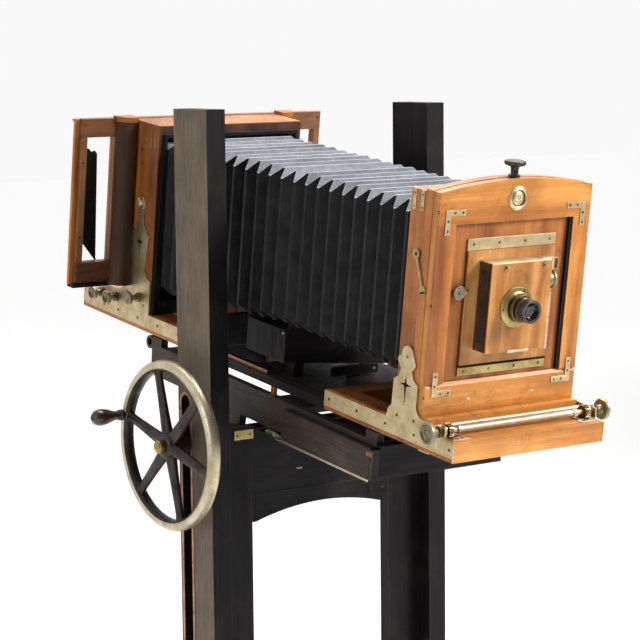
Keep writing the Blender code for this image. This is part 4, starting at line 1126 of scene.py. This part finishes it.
wheel = [(0.0, 0.015), (0.004, 0.015), (0.0046, 0.0132), (0.0128, 0.013), (0.014, 0.015),
    (0.0155, 0.0148), (0.0155, 0.012), (0.0128, 0.01), (0.0125, 0.006), (0.0155, 0.004), (0.0155, 0.0012),
    (0.014, 0.0006), (0.0, 0.0004)]
Solid().lathe((0.0588, -0.519, 0.267), "X", wheel, 48).done("pulley_wheel", "aged", "pulley",
    stands_for=("shutter_pulley",))
keep("turn_button", "aged", 0.0006)
button = Solid()
button.lathe((-0.106, -0.5062, 0.253), "-Y",
    [(0.0, 0.003), (0.0024, 0.0028), (0.0036, 0.001), (0.0036, 0.0), (0.0, 0.0)], 24)
button.box((-0.103, -0.088), (-0.5082, -0.5064), (0.2517, 0.2543))
button.done("turn_button_lever", "aged", "turn_button", bevel=0.0004)
screws("turn_button_screws", [(-0.109, -0.5062, 0.2605), (-0.109, -0.5062, 0.2455)], "-Y", "turn_button",
    0.0014)

knob = Solid()
profile = [(0.0, 0.0252), (0.007, 0.0257), (0.014, 0.0262), (0.0162, 0.0257), (0.017, 0.0244),
    (0.017, 0.0208), (0.0158, 0.019), (0.011, 0.0176)]
profile += [(0.0074, 0.0162), (0.0064, 0.0125), (0.0062, 0.0055), (0.0068, 0.004), (0.0098, 0.0032),
    (0.0101, 0.001), (0.0098, 0.0), (0.0, 0.0)]
knob.lathe((0.0, -0.49, 0.4325), "Z", profile, 56)
for i in range(44):
    a = 2 * math.pi * i / 44
    cx, cy = 0.0171 * math.cos(a), -0.49 + 0.0171 * math.sin(a)
    knob.box((cx - 0.0005, cx + 0.0005), (cy - 0.0005, cy + 0.0005), (0.4536, 0.4564))
knob.done("clamp_knob", "iron", "clamp_screw", smooth=40.0, stands_for=("clamp_screw",))

# ---- rear carriage ------------------------------------------------------
for side_name in ("left", "right"):
    keep("rear_bracket_" + side_name, "brass", 0.0004)
keep("rear_standard", "russet_cad_Z", 0.0014, 3)
windows = [rect(0.2001, 0.2575, 0.122, 0.357), rect(-0.2575, -0.2001, 0.122, 0.357)]
opening = rect(-0.14, 0.14, 0.105, 0.365)
Solid().plate("XZ", [rect(-0.279, 0.279, 0.08, 0.391), opening] + windows, 0.4092,
    0.4165).done("wide_back_rear", "russet_Z", "rear_carriage", bevel=0.001, stands_for=("wide_back",))
# painted shade: the wide back's head, foot and stiles use the darker BROWN wood for the shade on its
# front face
head_line = [(-0.271, 0.392), (-0.271, 0.357), (-0.14, 0.357), (-0.14, 0.365)]
head_line += [(-x, z) for x, z in reversed(head_line)]
Solid().plate("XZ", [head_line], 0.399, 0.4088).done("wide_back_head", "brown_X", "rear_carriage",
    bevel=0.001)
foot = Solid()
foot_line = [(-0.271, 0.085), (-0.271, 0.1218), (-0.14, 0.1218), (-0.14, 0.105)]
foot_line += [(-x, z) for x, z in reversed(foot_line)]
foot.plate("XZ", [foot_line], 0.399, 0.4088)
foot.done("wide_back_foot", "brown_X", "rear_carriage", bevel=0.001)
stiles = Solid()
stiles.box((-0.271, -0.2576), (0.399, 0.4088), (0.122, 0.3568))
stiles.box((-0.2, -0.1625), (0.399, 0.4088), (0.122, 0.3568))
stiles.mirrored()
stiles.done("wide_back_stiles", "brown_Z", "rear_carriage", bevel=0.0008)
# painted shade: the half-round columns use the near-black DEEP wood for the shade they stand in
columns = Solid()
caps = Solid()
for sign in (-1, 1):
    for out, r, z0, z1 in ((columns, 0.0265, 0.076, 0.386), (caps, 0.0285, 0.3862, 0.39),
        (caps, 0.03, 0.3902, 0.396)):
        stop = 360 - math.degrees(math.acos(0.0092 / r))
        half = arc(-0.1715, 0.405, r, 180, stop, 24) + [(-0.1623, 0.405)]
        out.plate("XY", [[(-sign * x, y) for x, y in half]], z0, z1)
columns.done("back_columns", "deep_Z", "rear_carriage", bevel=0.0006)
caps.done("column_caps", "russet_X", "rear_carriage", bevel=0.0014, segments=3)
spots = [(sx * x, 0.399, z) for sx in (-1, 1) for x,
    z in ((0.264, 0.38), (0.2645, 0.31), (0.2645, 0.17), (0.24, 0.103))]
screws("wide_back_screws", spots, "-Y", "rear_carriage", 0.0024)
slats = Solid()
for y in (0.3205, 0.3345, 0.3485):
    slats.box((-0.1606, -0.1592), (y, y + 0.004), (0.346, 0.389))
slats.mirrored()
slats.done("standard_strips", "golden", "rear_carriage", bevel=0.0004)
board = [(-0.265, 0.176), (-0.22, 0.1217), (-0.22, 0.095), (-0.1755, 0.095), (-0.1755, 0.118),
    (-0.215, 0.118)]
board += [(-0.218, 0.125), (-0.225, 0.323), (-0.23, 0.329), (-0.237, 0.3265), (-0.243, 0.333),
    (-0.265, 0.335)]
Solid().plate("XZ", [board], 0.4172, 0.42).done("dark_slide", "black_Z", "back_slide", bevel=0.0004)
for side_name, sign, axis in (("left", -1, "-X"), ("right", 1, "X")):
    fitting = Solid()
    fitting.lathe((sign * 0.162, 0.3557, 0.2395), axis,
        [(0.0, 0.006), (0.004, 0.0052), (0.006, 0.003), (0.0062, 0.0), (0.0, 0.0)], 28)
    fitting.lathe((sign * 0.162, 0.3557, 0.2395), axis,
        [(0.0085, 0.0), (0.01, 0.0016), (0.0118, 0.0016), (0.0124, 0.0), (0.0085, 0.0)], 36)
    fitting.done("bracket_boss_" + side_name, "brass", "rear_carriage", smooth=50.0)
    spots = [(sign * 0.162, y, z) for y,
        z in ((0.455, 0.044), (0.515, 0.046), (0.37, 0.048), (0.33, 0.048), (0.388, 0.064))]
    spots += [(sign * HALF, 0.365, z) for z in (0.31, 0.338)]
    screws("rear_side_screws_" + side_name, spots, axis, "rear_carriage", 0.0025)
    swing = Solid()
    swing.lathe((sign * 0.1623, 0.347, 0.06), axis,
        [(0.0, 0.0232), (0.003, 0.023), (0.0046, 0.0246), (0.0095, 0.0255), (0.0118, 0.025),
        (0.0125, 0.0238), (0.0125, 0.0208), (0.0115, 0.0198), (0.0062, 0.0188), (0.005, 0.016),
        (0.005, 0.0064), (0.0088, 0.0052), (0.009, 0.0), (0.0, 0.0)], 40)
    swing.done("swing_knob_" + side_name, "aged", "swing_" + side_name, smooth=40.0,
        stands_for=("swing_screw_" + side_name,))
keep("glass_frame", "russet_cad_Z", 0.0012, 3)
keep("ground_glass", "ground")
plates = Solid()
corner_set(plates, 0.168, 0.032, 0.009, (0.378, 0.094), 0.437, 0.4384)
for sz in (0.125, 0.235, 0.345):
    for sx in (-1, 1):
        plates.box(sorted((sx * 0.13, sx * 0.148)), (0.437, 0.4382), (sz - 0.005, sz + 0.005))
plates.done("back_plates", "brass", "back_slide", bevel=0.0003)
spots = [(sx * (0.168 - a), 0.4384, z0 - sz * b) for sx in (-1, 1) for sz,
    z0 in ((1, 0.378), (-1, 0.094)) for a, b in ((0.0045, 0.025), (0.025, 0.0045), (0.0045, 0.0045))]
screws("back_plate_screws", spots, "Y", "back_slide", 0.002)
rails = Solid()
rails.box((-0.278, 0.278), (0.4168, 0.423), (0.3848, 0.39))
rails.done("back_runners", "russet_X", "rear_carriage", bevel=0.0008)
Solid().box((-0.274, 0.274), (0.401, 0.423), (0.0735, 0.0797)).done("back_sill", "black_X",
    "rear_carriage", bevel=0.0008)
lining = Solid()
rim_outer = [(-0.1575, 0.0345), (0.1575, 0.0345), (0.15, 0.3745), (-0.15, 0.3745)]
lining.plate("XZ", [rim_outer, rect(-0.1436, 0.1436, 0.059, 0.368)], 0.3045, 0.3098)
lining.plate("XZ", [rect(-0.1447, 0.1447, 0.0503, 0.3757), rect(-0.118, 0.118, 0.09, 0.348)], 0.326,
    0.329)
lining.done("bellows_rear_frame", "dark", "rear_carriage", bevel=0.0006)
facing_board = Solid().plate("XZ", [rect(-0.1592, 0.1592, 0.0345, 0.389), rect(-0.144, 0.144, 0.058,
    0.369)], 0.3099, 0.3109)
facing_board.done("rear_standard_face", "deep_Z", "rear_carriage", bevel=0.0003)


# ---- bellows ------------------------------------------------------------
FOLDS = 11


def bellows(name, y0, y1, node, body):
    """Square pleated tube: where the sides come out the top and bottom go in, so the corners zigzag."""
    depth = 0.0165
    rings = []
    count = 2 * FOLDS
    for i in range(count + 1):
        at_end = i in (0, count)
        for part in ((0.0,) if at_end else (-0.16, 0.16)):
            y = y0 + (y1 - y0) * (i + part) / count
            t = (y + 0.43) / 0.755
            half = 0.1215 + 0.0205 * t
            low = 0.096 + 0.01 * t - 0.035 * max(0.0, t - 0.5) * 2
            top = 0.38 - 0.016 * t
            wobble = 0.0006 * math.sin(i * 2.3 + part)
            side_out = (i % 2 == 1)
            dx = 0.0 if side_out else depth
            dz = depth if side_out else 0.0
            if at_end and abs(y) > 0.1:
                dx = dz = depth * 0.5
            x, z0, z1 = half - dx + wobble, low + dz, top - dz + wobble
            ring = []
            for sx, zz in ((1, z0), (1, z1), (-1, z1), (-1, z0)):
                c = 0.0012
                sz = 1 if zz == z1 else -1
                pair = [(sx * x, zz - sz * c), (sx * (x - c), zz)]
                ring += pair if (sx * sz) > 0 else pair[::-1]
            rings.append([(px, y, pz) for px, pz in ring])
    out = Solid().loft(rings, caps=False)
    return out.done(name, "cloth", body, smooth=28.0, stands_for=(node,))


def free(obj):
    """Unparent a piece and clear its body."""
    world_place = obj.matrix_world.copy()
    obj.parent = None
    obj.matrix_world = world_place
    del obj["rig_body"]
    return obj


front_half = free(bellows("bellows_front_cloth", -0.4297, -0.0603, "bellows_front", "platform"))
rear_half = free(bellows("bellows_rear_cloth", -0.0597, 0.325, "bellows_rear", "platform"))
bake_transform(front_half)
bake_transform(rear_half)

# ---- floor --------------------------------------------------------------
floor_mesh = bpy.data.meshes.new("floor")
floor_mesh.from_pydata([(-20, -20, 0), (20, -20, 0), (20, 20, 0), (-20, 20, 0)], [], [(0, 1, 2, 3)])
floor = bpy.data.objects.new("floor", floor_mesh)
scene.collection.objects.link(floor)
pale = Finish("pale_floor")
soft = pale.noise(pale.scaled(), 3.0)
away = pale.step(pale.parts(pale.place)["Y"], 0.5, 5.0, 0.42)
pale.link(away, pale.shader.inputs["Emission Strength"])
pale.shader.inputs["Emission Color"].default_value = (1.0, 1.0, 1.0, 1.0)
pale.finish(pale.ramp(soft, [(0.3, (0.82, 0.82, 0.82)), (0.7, (0.85, 0.85, 0.85))]),
    pale.grey(soft, 0.7, 0.8))
floor_mesh.materials.append(pale.mat)
